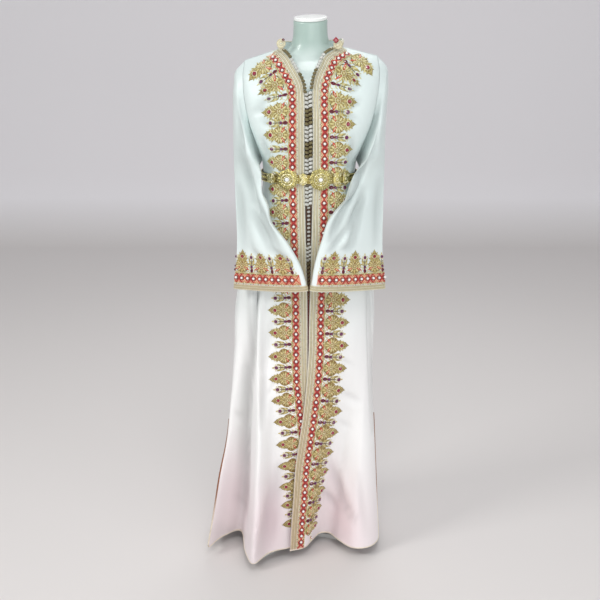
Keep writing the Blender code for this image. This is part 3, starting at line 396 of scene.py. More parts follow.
# Folds: where a fold line lies round the unfolded panel (0 front edge, 1 side edge, or
# left side to right side on the back), where it stands at the hem, and the height at
# which it dies away.
FOLDS = {
    # at, x, y, top
    -1: metres((
        (0, -5, -88, 660),
        (0.2, -51, -112, 660),
        (0.42, -114, -143, 700),
        (0.6, -165, -210, 980),
        (0.67, -187, -140, 980),
        (0.73, -213, -2, 980),
        (0.81, -257, -38, 940),
        (1, -301, -118, 600),
    ), 0),
    1: metres((
        (0, -54.5, -132, 660),
        (0.22, -9, -110, 660),
        (0.36, 13, -66, 660),
        (0.46, 38, -22, 700),
        (0.55, 63, -20, 700),
        (0.66, 92, -64, 740),
        (0.8, 141, -117, 840),
        (0.9, 187, -106, 840),
        (0.96, 213, -66, 840),
        (1, 217, -42, 800),
    ), 0),
}
BACK_FOLDS = metres((
    (0, -288, -76, 600),
    (0.08, -290, 4, 800),
    (0.16, -252, 78, 840),
    (0.24, -224, 122, 840),
    (0.32, -182, 200, 880),
    (0.41, -108, 176, 900),
    (0.5, -40, 228, 920),
    (0.58, 28, 188, 900),
    (0.67, 92, 226, 880),
    (0.76, 140, 164, 840),
    (0.84, 190, 152, 840),
    (0.92, 204, 70, 800),
    (1, 216, -8, 760),
), 0)
# Sleeves as level slices: the outer edge, the inner edge (above the armpit the armhole's
# seam takes its place), where the front's ridge lies, how deep the front and back bulge,
# how far the ridge leans toward the body, and how squarely the slice leaves its inner edge.
SLEEVES = {
    # drop, outer x, y, inner x, y, ridge, front, back, lean, square
    -1: metres((
        (28, -176, 0, -176, 0, 0.5, 0, 0, 0, 1),
        (52, -200, -4, -179, 0, 0.5, 12, 10, 0, 1),
        (92, -207.5, -10, -179, 0, 0.5, 20, 14, 0, 1),
        (173, -209.5, -20, -170, 0, 0.55, 36, 16, 2, 1),
        (211, -209.5, -27, -156, 0, 0.62, 50, 17, 6, 1),
        (258, -209.5, -34, -142, 0, 0.66, 72, 18, 14, 1),
        (305, -208.5, -42, -130, 0, 0.68, 96, 22, 26, 0.8),
        (323, -208, -44, -139, -20, 0.69, 88, 21, 30, 0.4),
        (348, -206.8, -47, -144, -52, 0.69, 64, 20, 28, 0.1),
        (378, -205.8, -51, -132, -90, 0.69, 40, 19, 14, 0),
        (408, -205, -55, -113, -120, 0.69, 27, 18, 2, 0),
        (458, -203, -64, -101, -142, 0.7, 22, 18, 0, 0),
        (508, -201, -75, -60, -162, 0.68, 22, 18, 0, 0),
        (573, -203, -87, -22, -180, 0.66, 22, 20, 0, 0),
        (638, -209, -98, -3, -196, 0.62, 22, 20, 0, 0),
        (660, -210.5, -101, 3, -200, 0.6, 22, 20, 0, 0),
    ), 5, 9),
    1: metres((
        (28, 188, 0, 188, 0, 0.5, 0, 0, 0, 1),
        (52, 211.5, -4, 191, 0, 0.5, 12, 10, 0, 1),
        (98, 219, -10, 191, 0, 0.5, 20, 14, 0, 1),
        (178, 215, -20, 180, 0, 0.55, 36, 16, 2, 1),
        (211, 213.5, -27, 164, 0, 0.62, 50, 17, 2, 1),
        (258, 212, -34, 148, 0, 0.66, 70, 18, 10, 1),
        (305, 211, -42, 133, 0, 0.68, 96, 22, 28, 0.8),
        (323, 210.5, -44, 141, -20, 0.69, 88, 21, 38, 0.4),
        (348, 209.8, -47, 144, -54, 0.69, 64, 20, 44, 0.1),
        (378, 209, -51, 126, -92, 0.69, 40, 19, 34, 0),
        (408, 208.5, -56, 90, -126, 0.69, 29, 18, 12, 0),
        (443, 208, -62, 58, -148, 0.7, 22, 18, 0, 0),
        (508, 206.5, -76, 33, -164, 0.68, 22, 18, 0, 0),
        (568, 208, -86, 15, -180, 0.66, 22, 20, 0, 0),
        (638, 214, -98, 3, -196, 0.62, 22, 20, 0, 0),
        (660, 215.5, -101, -3, -200, 0.6, 22, 20, 0, 0),
    ), 5, 9),
}
# The dress form: height, half width, front and back depth, squareness.
FORM = metres((
    # z, half, front, back, square
    (740, 120, -80, 80, 2),
    (760, 142, -94, 94, 2.1),
    (860, 158, -104, 108, 2.2),
    (960, 148, -100, 98, 2.2),
    (1060, 122, -90, 78, 2.2),
    (1142, 106, -86, 66, 2.2),
    (1220, 116, -98, 76, 2.3),
    (1290, 130, -106, 84, 2.3),
    (1350, 148, -96, 84, 2.2),
    (1400, 160, -78, 74, 2),
    (1435, 154, -56, 58, 2),
    (1455, 132, -46, 52, 2),
    (1468, 110, -44, 48, 2),
    (1478, 81, -44, 46, 2),
    (1490, 59, -44, 45, 2),
    (1510, 50, -43, 45, 2),
    (1540, 46.5, -43, 45, 2),
    (1562, 46.5, -43, 45, 2),
), 4)
CAP_RADIUS = 0.0460
POLE_RADIUS = 0.0125
FOOT_THICK, FOOT_WIDTH = 0.0130, 0.0300
HUB_RADIUS = 0.0270
FEET = ((-0.145, -0.150), (0.172, -0.062), (0.090, 0.150), (-0.110, 0.140))

# Row stations shared by the panels and by every trim that lies on them.
STATIONS = tuple(drop / 1000 for drop in (
    0, 5, 12, 28, 46, 69, 92, 125, 160, 200, 240, 272, 305, 330, 362, 395, 450, 520, 600, 690,
    780, 870, 950, 1020, 1090, 1170, 1250, 1330, 1400, 1456))

# Belt: a band round the waist with plates, two rosettes and a clasp on its front.
PLATES = (
    # name           centre x   width   height
    ("plate_left", -0.1035, 0.0270, 0.0270),
    ("clasp", -0.0155, 0.0240, 0.0320),
    ("plate_right_1", 0.0760, 0.0220, 0.0400),
    ("plate_right_2", 0.0995, 0.0200, 0.0340),
)
ROSETTES = (
    # name       centre x   radius
    ("left", -0.0590, 0.0270),
    ("right", 0.0305, 0.0292),
)
BELT_Z, BELT_HEIGHT, BELT_THICK, BELT_LIFT = 1.1420, 0.0240, 0.0014, 0.0046
INWARD_PASSES = 2        # how often a sleeve's inward ways are smoothed


# ---------------------------------------------------------------- looks
@dataclass(frozen=True)
class Crease:
    """A trough pressed into the cloth along a line in x and z, or a ridge where it's negative.

    Its profile is deep * exp(-(d / width)**2); `steep` narrows the side that is on the right
    of someone who looks down the line from its first point toward the object's back.
    """

    x0: float
    z0: float
    x1: float
    z1: float
    width: float
    deep: float
    steep: float = 1.0


def creases(*rows: Sequence[float]) -> tuple[Crease, ...]:
    """Creases from rows of their fields, in millimetres."""
    return tuple(Crease(*row) for row in metres(rows, 6))

FRONT_CREASES = {
    -1: creases(
        (-143.5, 850, -153, 720, 5, 6), (-153, 725, -166, 560, 5, 7), (-166, 565, -177, 420, 6, 5),
        (-140, 850, -150, 750, 12, 11, 0.35), (-150, 770, -157, 630, 16, 15, 0.3),
        (-156, 660, -168, 540, 18, 18, 0.3), (-167, 570, -179, 400, 20, 18, 0.3),
        (-178, 430, -183, 265, 22, 15, 0.3), (-182, 300, -190, 110, 22, 10, 0.4),
        (-106, 745, -124, 610, 11, 6), (-123, 620, -131, 430, 12, 7), (-96, 560, -116, 520, 7, 3),
        (-137, 1341, -104, 1357, 7, 6.1), (-154, 1322, -108, 1333, 8, 7.6),
        (-128, 1300, -104, 1285, 8, 5.4), (-128, 1250, -110, 1195, 8, 6.1),
        (-120, 1175, -98, 1158, 7, 5.4), (-118, 1125, -128, 1020, 9, 6.1),
        (-86, 1457, -118, 1425, 10, 3.6), (-123, 800, -132, 600, 10, 4), (-108, 700, -118, 420, 13, -3),
        (-216, 452, -194, 427, 8, 3.4), (-206, 420, -186, 380, 8, -2.4), (-217, 160, -189, 113, 9, 3.4),
        (-86, 290, -142, 40, 22, 8), (-132, 240, -165, 50, 12, -5), (-96, 150, -108, 50, 12, 4.5)),
    1: creases(
        (111, 1381, 139, 1386, 7, 6.5), (112, 1335, 137, 1352, 8, 7.6), (91, 1318, 132, 1300, 10, 6.1),
        (118, 1255, 110, 1180, 8, 6.1), (98, 1160, 120, 1180, 7, 5.4), (112, 1120, 124, 1010, 10, 6.1),
        (98, 1452, 128, 1428, 10, 3.6), (171, 850, 198, 380, 9, 12, 0.5), (186, 720, 203, 300, 8, -2.6),
        (93, 629, 126, 604, 7, 3.2), (100, 519, 152, 487, 8, 4), (95, 489, 141, 459, 9, -2.8),
        (88, 430, 126, 404, 8, 2.8), (64, 290, 116, 126, 13, 6), (88, 300, 138, 140, 12, -4),
        (103, 122, 134, 163, 6, 3.2), (118, 106, 142, 153, 6, 3.2), (134, 98, 150, 140, 6, 3.2),
        (46, 190, 82, 130, 12, 6.6), (150, 260, 176, 70, 12, 4)),
}
BACK_CREASES = creases(
    (-150, 1300, -100, 1330, 10, 5.6), (155, 1310, 104, 1335, 10, 5.6),
    (-140, 1240, -86, 1225, 10, 4.8), (140, 1235, 80, 1215, 10, 5), (-70, 1290, -50, 1160, 12, 5),
    (66, 1280, 46, 1160, 12, 5), (-10, 1260, -4, 1165, 10, 4.2), (-60, 1120, -94, 700, 13, 6.4),
    (-18, 1120, -34, 560, 14, 6.4), (30, 1120, 44, 640, 13, 6.4), (78, 1120, 112, 740, 13, 6.4),
    (-96, 1060, -140, 520, 14, -4.4), (6, 1080, 4, 700, 12, -4), (-130, 660, -190, 40, 20, 12, 0.6),
    (-46, 600, -78, 30, 20, 11, 0.7), (30, 660, 22, 30, 18, 9), (110, 660, 152, 40, 20, 12, 0.6),
    (70, 440, 88, 40, 16, -7), (-100, 440, -126, 40, 16, -7))
SLEEVE_CREASES = {
    -1: creases(
        (-150, 1044, -104, 956, 12, 10, 0.6), (-106, 958, -62, 928, 11, 8, 0.6),
        (-126, 1040, -82, 964, 11, -6), (-190, 1350, -182, 1190, 13, 12, 0.5),
        (-182, 1210, -142, 1066, 16, 18, 0.45), (-142, 1075, -84, 962, 18, 16, 0.6),
        (-196, 1110, -186, 950, 13, 9), (-160, 1010, -130, 925, 14, -6), (-202, 1340, -192, 1230, 9, -5),
        (-162, 952, -128, 922, 10, 7), (-80, 952, -48, 924, 9, 5)),
    1: creases(
        (152, 1086, 112, 1015, 12, 10, 0.6), (114, 1018, 60, 955, 12, 11, 0.6),
        (128, 1010, 112, 950, 10, 6), (190, 1350, 176, 1200, 13, 12, 0.5),
        (172, 1220, 103, 1072, 15, 17, 0.5), (106, 1085, 60, 990, 15, 15, 0.7),
        (152, 1110, 124, 972, 14, 11, 0.7), (197, 1130, 190, 960, 12, 8), (80, 954, 118, 966, 9, 7),
        (180, 1250, 152, 1180, 9, -5), (112, 1020, 84, 945, 11, -6)),
}
SLEEVE_BACK_CREASES = {
    -1: creases(
        (-190, 1290, -160, 1130, 13, 8.4), (-160, 1130, -110, 960, 14, 8.4),
        (-196, 1060, -180, 930, 12, 7)),
    1: creases(
        (194, 1290, 160, 1130, 13, 8.4), (160, 1130, 100, 960, 14, 8.4), (200, 1060, 186, 930, 12, 7)),
}
TROUGH_SHADE = 0.40      # how much darker the bottom of a deep trough is
TROUGH_DEPTH = 0.011     # a trough this deep has most of that shade
# Painted light on the white cloth: a mint light cast above, the cloth's white, and pink shade low on the
# skirt.
CLOTH_AND_PAINTED_LIGHT_TONES = ((219, 232, 230), (247, 247, 246), (232, 200, 208))
# Patches of painted pink shade in the skirt's folds near the hem.
PAINTED_PINK_SHADES = (
    # x      z      wide   tall   strength
    (-0.114, 0.150, 0.044, 0.120, 0.40),
    (-0.232, 0.240, 0.050, 0.150, 0.22),
    (0.104, 0.120, 0.050, 0.120, 0.34),
    (0.070, 0.260, 0.022, 0.080, 0.18),
)
FRONT_LOOKS = {
    -1: {"phase": 0.006, "lean": 0.05,
             "sizes": ((0.0, 0.94), (1.25, 0.94), (1.36, 1.10), (2.0, 1.10)),
             "slide": ((0.0, 0.038), (0.13, 0.034), (0.37, 0.019), (0.56, 0.0), (2.0, 0.0)),
             "motifs": (1.264, 1.188, 1.115, 1.053, 0.989, 0.918, 0.847, 0.776, 0.709, 0.639,
                        0.572, 0.506, 0.440, 0.369, 0.300, 0.234, 0.175, 0.113)},
    1: {"phase": 0.014, "lean": 0.05,
              "sizes": ((0.0, 0.96), (0.15, 1.06), (0.40, 1.12), (0.60, 1.0), (1.27, 0.98),
                        (1.36, 1.14), (2.0, 1.14)),
              "slide": ((0.0, 0.0), (2.0, 0.0)),
              "motifs": (1.293, 1.223, 1.153, 1.085, 1.017, 0.948, 0.878, 0.806, 0.739, 0.671,
                         0.603, 0.536, 0.470, 0.402, 0.336, 0.272, 0.208, 0.148, 0.088)},
}
TIP_LINE, TIP_PITCH, FIRST_MOTIF_RUN = 0.100, 0.0600, 0.003
PALM_SPREAD = ((0.0, 0.84), (0.35, 0.88), (0.60, 1.04), (0.79, 1.08), (0.81, 1.42),
               (0.90, 1.42), (0.95, 1.20), (2.0, 1.24))
EVEN, UNMOVED = ((0.0, 1.0), (2.0, 1.0)), ((0.0, 0.0), (2.0, 0.0))
PALM_SIZE, SPRIG_SIZE = 0.98, 1.14
MOTIF_MIDDLE = 0.06      # distance in from the edge of a motif's middle
STITCH_HEIGHT = 0.0011   # height of couched threads and of wires
BRAID_START, BAND_START = 0.004, 0.012       # runs from a front's top
CUFF_BRAID, CUFF_BAND = (0.0005, 0.0165), (0.0190, 0.0480)   # in from the cuff's edge
CUFF_BRAID_END, CUFF_BAND_END = 0.0005, 0.020                # how far each stops off the end
CUFF_SIZES = ((0.0, 0.90), (2.0, 0.90))
CUFF_CLEAR = (0.030, 0.022)                  # how far motifs keep off the two ends
CUFF_MOTIF_PITCH = 0.0570
CUFF_MOTIFS = {-1: (-0.186, -0.130, -0.0716), 1: (0.0624, 0.125, 0.184)}
CUFF_TINTS = {-1: (0.97, 0.90, 0.84), 1: (1.0, 0.97, 0.90)}
V_KNOT_RUNS, V_KNOT_PITCH = (0.040, 0.190), 0.0096
V_KNOT_LIFT, V_KNOT_OUT = 0.0062, 0.0030     # off the cloth, and out past its edge
V_SILVER_KNOTS = (7, 3)                      # the middle one's number, and how many either way
SINGLE_KNOTS = (0.957, 1.073)   # heights between which the knots stand singly
FLOOR_TONE, WALL_TONE = (223, 219, 217), (251, 249, 252)
WORLD_COLOUR, WORLD_STRENGTH = (0.97, 0.98, 1.0), 0.46
LIGHTS = (
    # name     place               aim                size  power  colour
    ("key", (-2.7, -1.7, 2.9), (0.0, 0.0, 0.95), 1.1, 44.0, (1.0, 0.99, 0.97)),
    ("fill", (2.4, -2.8, 1.6), (0.0, 0.0, 0.9), 2.4, 21.0, (0.97, 0.98, 1.0)),
    ("top", (0.2, -2.2, 3.9), (0.0, 0.0, 1.0), 1.4, 34.0, (1.0, 1.0, 1.0)),
    ("rear", (0.4, 1.9, 3.4), (0.0, 0.0, 1.2), 1.8, 26.0, (1.0, 1.0, 1.0)),
    ("low", (0.3, -3.2, 0.8), (0.0, 0.0, 0.5), 1.8, 20.0, (1.0, 0.98, 0.98)),
)


# ---------------------------------------------------------------- curves, grids and meshes
def read(table: Table, at: Any) -> Array:
    """Columns of a table at the places `at`, through a smooth cubic in its first column."""
    rows = np.asarray(table, float)
    knots, values = rows[:, 0], rows[:, 1:]
    slope = np.gradient(values, knots, axis=0)
    at = np.clip(np.atleast_1d(at), knots[0], knots[-1])
    cell = np.clip(np.searchsorted(knots, at, side="right") - 1, 0, len(knots) - 2)
    step = (knots[cell + 1] - knots[cell])[:, None]
    t = (at - knots[cell])[:, None] / step
    start, end = values[cell], values[cell + 1]
    bend_in, bend_out = slope[cell] * step, slope[cell + 1] * step
    return ((2 * t**3 - 3 * t**2 + 1) * start + (t**3 - 2 * t**2 + t) * bend_in
            + (3 * t**2 - 2 * t**3) * end + (t**3 - t**2) * bend_out)


def ease(value: Any, start: float, over: float) -> Array:
    """0 before `start`, 1 after `start + over`, smooth between."""
    t = np.clip((np.asarray(value) - start) / over, 0.0, 1.0)
    return t * t * (3 - 2 * t)


def turns(count: int, offset: float = 0.0) -> Array:
    """Even angles round a circle."""
    return (np.arange(count) + offset) * 2 * math.pi / count


def together(*parts: Any) -> Array:
    """Arrays broadcast to one shape and stacked along a new last axis."""
    return np.stack(np.broadcast_arrays(*parts), axis=-1)


def unit(vectors: Array) -> Array:
    """The vectors at length 1."""
    return vectors / np.linalg.norm(vectors, axis=-1, keepdims=True).clip(1e-12)


def lengths(points: Array, axis: int = 0) -> Array:
    """Running length along an axis of a grid of points, from 0."""
    steps = np.linalg.norm(np.diff(points, axis=axis), axis=-1)
    return np.insert(np.cumsum(steps, axis=axis), 0, 0.0, axis=axis)


def walk(wanted: Array, at: Array, points: Array) -> Array:
    """Points of a polyline at the wanted places of `at`, a measure that grows along it."""
    return np.stack([np.interp(wanted, at, axis) for axis in points.T], axis=-1)


def smoothed(points: Array, reach: int, **padding: str) -> Array:
    """Running mean of a line over `reach` neighbours on each side, its ends padded."""
    share = np.ones(2 * reach + 1) / (2 * reach + 1)
    return np.stack([np.convolve(np.pad(axis, reach, **padding), share, mode="valid")
                     for axis in points.T], axis=-1)


def grid_normals(grid: Array, around: bool = False) -> Array:
    """Unit normals of a grid: across step times down step."""
    if around:
        padded = np.concatenate((grid[:, -1:], grid, grid[:, :1]), axis=1)
        across = padded[:, 2:] - padded[:, :-2]
    else:
        across = np.gradient(grid, axis=1)
    return unit(np.cross(across, np.gradient(grid, axis=0)))


def grid_quads(rows: int, columns: int, start: int = 0, around: bool = False) -> Array:
    """Quads of a grid of points numbered row by row, its last column joined to its first
    where it goes around."""
    r, c = np.meshgrid(np.arange(rows - 1), np.arange(columns - (not around)), indexing="ij")
    a, b = r * columns + c, r * columns + (c + 1) % columns
    return start + np.stack((a, a + columns, b + columns, b), axis=-1).reshape(-1, 4)


def standing(name: str, data: Any) -> Object:
    """A new object of the scene that holds a mesh, lamp or camera."""
    made = bpy.data.objects.new(name, data)
    bpy.context.scene.collection.objects.link(made)
    return made


@dataclass
class Sewing:
    """Points, faces, tones and UVs that are gathered into one mesh."""

    points: list[Array] = field(default_factory=list)
    faces: list[list[int]] = field(default_factory=list)
    tones: list[Array] = field(default_factory=list)
    places: list[Array] = field(default_factory=list)
    count: int = 0

    def add(self, points: Array, faces: Sequence[Array], tone: Any, places: Any = 0.0) -> None:
        """Gather a batch of points with their faces.

        Args:
            points: any array of 3-D points.
            faces: arrays of faces, numbered from the batch's first point.
            tone: one colour, or one for each point.
            places: UV of each point, in metres.
        """
        for batch in faces:
            self.faces.extend((np.asarray(batch) + self.count).tolist())
        for kept, values, wide in ((self.points, points, 3), (self.tones, colours(tone), 3),
                                   (self.places, places, 2)):
            kept.append(np.broadcast_to(values, points.shape[:-1] + (wide,)).reshape(-1, wide))
        self.count += points.size // 3

    def rings(self, rings: Array, tone: Any, places: Any = 0.0) -> None:
        """Gather tubes whose two ends are closed by a face.

        Args:
            rings: points as (tubes, rings, sides, 3).
            tone: one colour, or an array that fits the points.
            places: UV that fits the points.
        """
        tubes, length, sides = rings.shape[:3]
        size = length * sides
        starts = (np.arange(tubes) * size)[:, None]
        quads = grid_quads(length, sides, 0, True)[None] + starts[..., None]
        caps = (np.arange(sides), np.arange(size - 1, size - sides - 1, -1))
        self.add(rings, [quads.reshape(-1, 4)] + [cap + starts for cap in caps], tone, places)

    def build(self, name: str, material: Material, sharp: float = 50.0) -> Object:
        """Make the mesh object, at the origin, in the row frame.

        Args:
            name: the piece's name.
            material: its material.
            sharp: edges past this angle, in degrees, aren't smoothed.

        Returns:
            The object.
        """
        points = np.concatenate(self.points)
        mesh = bpy.data.meshes.new(name)
        mesh.from_pydata(points, [], turned_out(points, self.faces))
        corner = np.empty(len(mesh.loops), np.int32)
        mesh.loops.foreach_get("vertex_index", corner)
        layer = mesh.uv_layers.new(name="thread")
        layer.data.foreach_set("uv", np.concatenate(self.places)[corner].ravel())
        tones = mesh.attributes.new(TONE_LAYER, "FLOAT_COLOR", "POINT")
        full = np.column_stack((np.concatenate(self.tones), np.ones(len(points))))
        tones.data.foreach_set("color", full.ravel())
        mesh.validate()
        mesh.shade_smooth()
        mesh.set_sharp_from_angle(angle=math.radians(sharp))
        mesh.materials.append(material)
        return standing(name, mesh)


def turned_out(points: Array, faces: list[list[int]]) -> list[list[int]]:
    """Faces with every separate closed island facing outward.

    Islands are found by passing the lowest point number over the edges until it settles;
    an island whose signed volume is negative has its faces reversed.
    """
    longest = max(len(face) for face in faces)
    grid = np.array([face + face[-1:] * (longest - len(face)) for face in faces])
    label = np.arange(len(points))
    while True:
        fresh = label.copy()
        np.minimum.at(fresh, grid.ravel(), np.repeat(label[grid].min(axis=1), longest))
        fresh = fresh[fresh]
        if (fresh == label).all():
            break
        label = fresh
    island = label[grid[:, 0]]
    volume = np.zeros(len(faces))
    for k in range(1, longest - 1):
        b, c = points[grid[:, k]], points[grid[:, k + 1]]
        volume += np.einsum("ij,ij->i", points[grid[:, 0]], np.cross(b, c)) / 6
    wrong = np.bincount(island, volume, len(points))[island] < 0
    return [face[::-1] if bad else face for face, bad in zip(faces, wrong)]


# ---------------------------------------------------------------- the maker's draft
def sunken(points: Array, pressed: Sequence[Crease]) -> Array:
    """How far creases press in points: each by its own profile, less near its ends."""
    x, z = points[..., 0], points[..., 2]
    sunk = np.zeros(x.shape)
    for c in pressed:
        run = np.array((c.x1 - c.x0, c.z1 - c.z0))
        size = np.linalg.norm(run)
        along = ((x - c.x0) * run[0] + (z - c.z0) * run[1]) / size**2
        inside = along.clip(0.0, 1.0)
        away = np.hypot(x - c.x0 - run[0] * inside, z - c.z0 - run[1] * inside)
        right = (x - c.x0) * run[1] - (z - c.z0) * run[0] < 0
        width = np.where(right, c.width * c.steep, c.width)
        sunk += c.deep * np.exp(-(away / width) ** 2) * (0.35 + 0.65 * np.sin(math.pi * inside))
    return sunk


def creased(grid: Array, normal: Array, pressed: Sequence[Crease], keep: Array) -> Array:
    """A grid moved along its normals by creases, whose effect is scaled by `keep`."""
    return grid - normal * (sunken(grid, pressed) * keep)[..., None]


@dataclass
class Draft:
    """The pattern of the kaftan: every panel as a fine grid of points in the row frame."""

    columns: int = 84
    back_columns: int = 132
    upper_steps: int = 4      # fine rows to each of the frame's rows above the armpit
    lower_step: float = 0.0085
    stations: Array = field(init=False)

    def __post_init__(self) -> None:
        """Space the rows, and work out the panels and sleeves."""
        known = np.array(STATIONS)
        upper = known[known <= ARMPIT_DROP]
        self.half_sides = (len(upper) - 1) * self.upper_steps
        fine = np.interp(np.arange(self.half_sides + 1) / self.upper_steps,
                         np.arange(len(upper)), upper)
        steps = int((STATIONS[-1] - ARMPIT_DROP) / self.lower_step)
        self.stations = np.append(fine, np.linspace(ARMPIT_DROP, STATIONS[-1], steps + 1)[1:])
        self.fronts = {hand: self._front(hand) for hand in SIDES}
        self.back = self._back()
        self.sleeves = {hand: self._sleeve(hand) for hand in SIDES}

    @staticmethod
    def placed(points: Array) -> Array:
        """Draft points in the row frame, whose origin is under the pole: the right shoulder
        raised, the left lowered, and the whole moved forward."""
        moved = points.copy()
        moved[..., 2] += TILT * points[..., 0] * ease(points[..., 2], TILT_FROM, TILT_OVER)
        moved[..., 1] -= POLE_Y
        return moved

    @staticmethod
    def side_at(drop: Any, hand: int) -> tuple[Array, ...]:
        """One side edge at drops: its own drop, x, y, depth of armhole and squareness."""
        low, left_x, right_x, left_y, right_y, armhole, square = read(SIDE_EDGE, drop).T
        x, y = (left_x, left_y) if hand < 0 else (right_x, right_y)
        return low, x, y, armhole, square

    @staticmethod
    def unfolded(edge: Sequence[Any], side: Sequence[Any], square: Any, share: Array) -> Array:
        """Points from a panel's edge to its side, evenly spaced along a superellipse."""
        angle = np.linspace(0.0, math.pi / 2, 161)
        across, along = (np.sin(angle) ** (2 / square), np.cos(angle).clip(0) ** (2 / square))
        curve = together(edge[0] + (side[0] - edge[0]) * across,
                         side[1] + (edge[1] - side[1]) * along,
                         edge[2] + (side[2] - edge[2]) * across)
        length = lengths(curve)
        return walk(np.asarray(share) * length[-1], length, curve)

    @staticmethod
    def fold_labels(folds: Table) -> tuple[Array, Array]:
        """Label of each fold line, midway between its share of the hem and of the row."""
        rows = np.asarray(folds, float)
        label = lengths(rows[:, 1:3])
        return 0.5 * (label / label[-1] + rows[:, 0]), rows

    def fold_shift(self, base: Array, hem: Array, label: Array, folds: Table) -> Array:
        """A row carried by the folds toward where they stand at the hem."""
        labels, rows = self.fold_labels(folds)
        target = read(np.column_stack((labels, rows[:, 1:])), label)
        top = np.interp(label, labels, rows[:, 3])
        hem_z = COLLAR_SEAM_Z - STATIONS[-1]
        grown = np.clip((top - base[:, 2]) / (top - hem_z), 0.0, 1.0)
        grown = grown * (0.35 + 0.65 * grown)
        moved = base.copy()
        moved[:, :2] += grown[:, None] * (target[:, :2] - hem[:, :2])
        return moved

    def front_row(self, drop: float, hand: int, label: Array) -> Array:
        """One unfolded row of a front panel."""
        left_x, right_x, y, lap = read(FRONT_EDGE, drop).T
        low, side_x, side_y, armhole, square = self.side_at(drop, hand)
        x, y = (left_x, y) if hand < 0 else (right_x, y - lap)
        labels, rows = self.fold_labels(FOLDS[hand])
        return self.unfolded((x, y, COLLAR_SEAM_Z - drop),
                             (side_x, side_y - armhole.clip(0.0), COLLAR_SEAM_Z - low), square,
                             np.interp(label, labels, rows[:, 0]))

    def _front(self, hand: int) -> tuple[Array, Array]:
        """A front panel: its grid, from the front edge to the side, and outward normals."""
        even = np.linspace(0.0, 1.0, 261)
        hem = self.front_row(STATIONS[-1], hand, even)
        grid = []
        for drop in self.stations:
            row = self.fold_shift(self.front_row(drop, hand, even), hem, even, FOLDS[hand])
            run = lengths(row)
            grid.append(walk(np.linspace(SEAM, run[-1] - SEAM, self.columns), run, row))
        points = self.placed(np.array(grid))
        side = ease((self.columns - 1 - np.arange(self.columns)) / 12, 0.0, 1.0)
        points = creased(points, grid_normals(points) * -hand, FRONT_CREASES[hand], side)
        return points, self._flat_top(grid_normals(points) * -hand, True)

    @staticmethod
    def _flat_top(normal: Array, level: Any) -> Array:
        """Normals whose first row has no part across the shoulder seam where it's level."""
        normal[0, :, 1] = np.where(level, 0.0, normal[0, :, 1])
        normal[0] = unit(normal[0])
        return normal

    def back_row(self, drop: float, share: Array) -> Array:
        """One unfolded row of the back, share 0 at its left side and 1 at its right."""
        back_drop, back_y = read(BACK_EDGE, drop).T
        halves = []
        for hand, mine in ((-1, share[share < 0.5]), (1, share[share >= 0.5])):
            low, side_x, side_y, armhole, square = self.side_at(drop, hand)
            halves.append(self.unfolded((AXIS_X, back_y, COLLAR_SEAM_Z - back_drop),
                                        (side_x, side_y + armhole.clip(0.0), COLLAR_SEAM_Z - low),
                                        square, np.abs(mine - 0.5) * 2))
        row = np.concatenate(halves)
        return row + (self.shoulder_line(share) - row) * (1.0 - ease(drop, 0.0, 0.060))

    @staticmethod
    def shoulder_line(share: Array) -> Array:
        """Top edge of the back: shoulder seam, round the back of the neck, shoulder seam."""
        left_tip, right_tip = SIDE_EDGE[0][2:4]
        left_neck, right_neck = FRONT_EDGE[0][1:3]
        half = (right_neck - left_neck) / 2
        bend = AXIS_X + np.array((-0.88, -0.50, 0.0, 0.50, 0.88)) * half
        arch = np.array((0.50, 0.88, 1.0, 0.88, 0.50)) * BACK_EDGE[0][2]
        fall = COLLAR_SEAM_Z - np.array((0.0, 0.002, 0.004, 0.004, 0.004, 0.002, 0.0))
        tip_z = COLLAR_SEAM_Z - SIDE_EDGE[0][1]
        line = np.column_stack(((left_tip, left_neck, *bend, right_neck, right_tip),
                                (0.0006, -0.0035, *arch, -0.0035, 0.0006),
                                (tip_z, *fall, tip_z)))
        return walk(share, (0.0, 0.30, 0.38, 0.44, 0.5, 0.56, 0.62, 0.70, 1.0), line)

    def _back(self) -> tuple[Array, Array]:
        """The back panel: its grid, from its left side to its right, and outward normals."""
        labels, rows = self.fold_labels(BACK_FOLDS)
        label = np.linspace(0.0008, 0.9992, self.back_columns + 1)
        share = np.interp(label, labels, rows[:, 0])
        hem = self.back_row(STATIONS[-1], share)
        points = self.placed(np.array([
            self.fold_shift(self.back_row(drop, share), hem, label, BACK_FOLDS)
            for drop in self.stations]))
        column = np.arange(self.back_columns + 1)
        side = ease(np.minimum(column, self.back_columns - column) / 12, 0.0, 1.0)
        keep = side[None] * ease(self.stations, 0.05, 0.10)[:, None]
        points = creased(points, -grid_normals(points), BACK_CREASES, keep)
        return points, self._flat_top(-grid_normals(points),
                                      np.abs(points[0, :, 1] + POLE_Y) < 0.004)

    def sleeve_points(self, hand: int, drop: Array, across: Array, way: int) -> Array:
        """Points of a sleeve's front (way 1) or back (way -1) at drops below the collar,
        across from its inner edge at 0 to its outer edge at 1."""
        low, side_x, _, deep, _ = self.side_at(np.linspace(0.0, ARMPIT_DROP, 121), hand)
        deep[0] = deep[-1] = 0.0
        outer_x, outer_y, inner_x, inner_y, ridge, front, back, lean, square = (
            read(SLEEVES[hand], drop).T)
        above = drop < ARMPIT_DROP
        inner_x = np.where(above, np.interp(drop, low, side_x), inner_x)
        inner_y = np.where(above, -way * np.interp(drop, low, deep), inner_y)
        square = square.clip(0.0, 1.0)
        along = (square * np.sin(across * math.pi / 2)
                 + (1 - square) * (1 - np.cos(math.pi * across)) / 2)
        skew = math.log(0.5) / np.log(ridge) if way > 0 else 1.0
        bulge = (np.sin(math.pi * (1 - across) ** skew)
                 * (1 - square * (1 - across) ** LEAVE_POWER))
        x = inner_x + (outer_x - inner_x) * along
        y = inner_y + (outer_y - inner_y) * along
        if way > 0:
            x, y = x - hand * lean * bulge**2, y - front * bulge
        else:
            y = y + back * bulge
        return np.stack((x, y, COLLAR_SEAM_Z - drop), axis=-1)

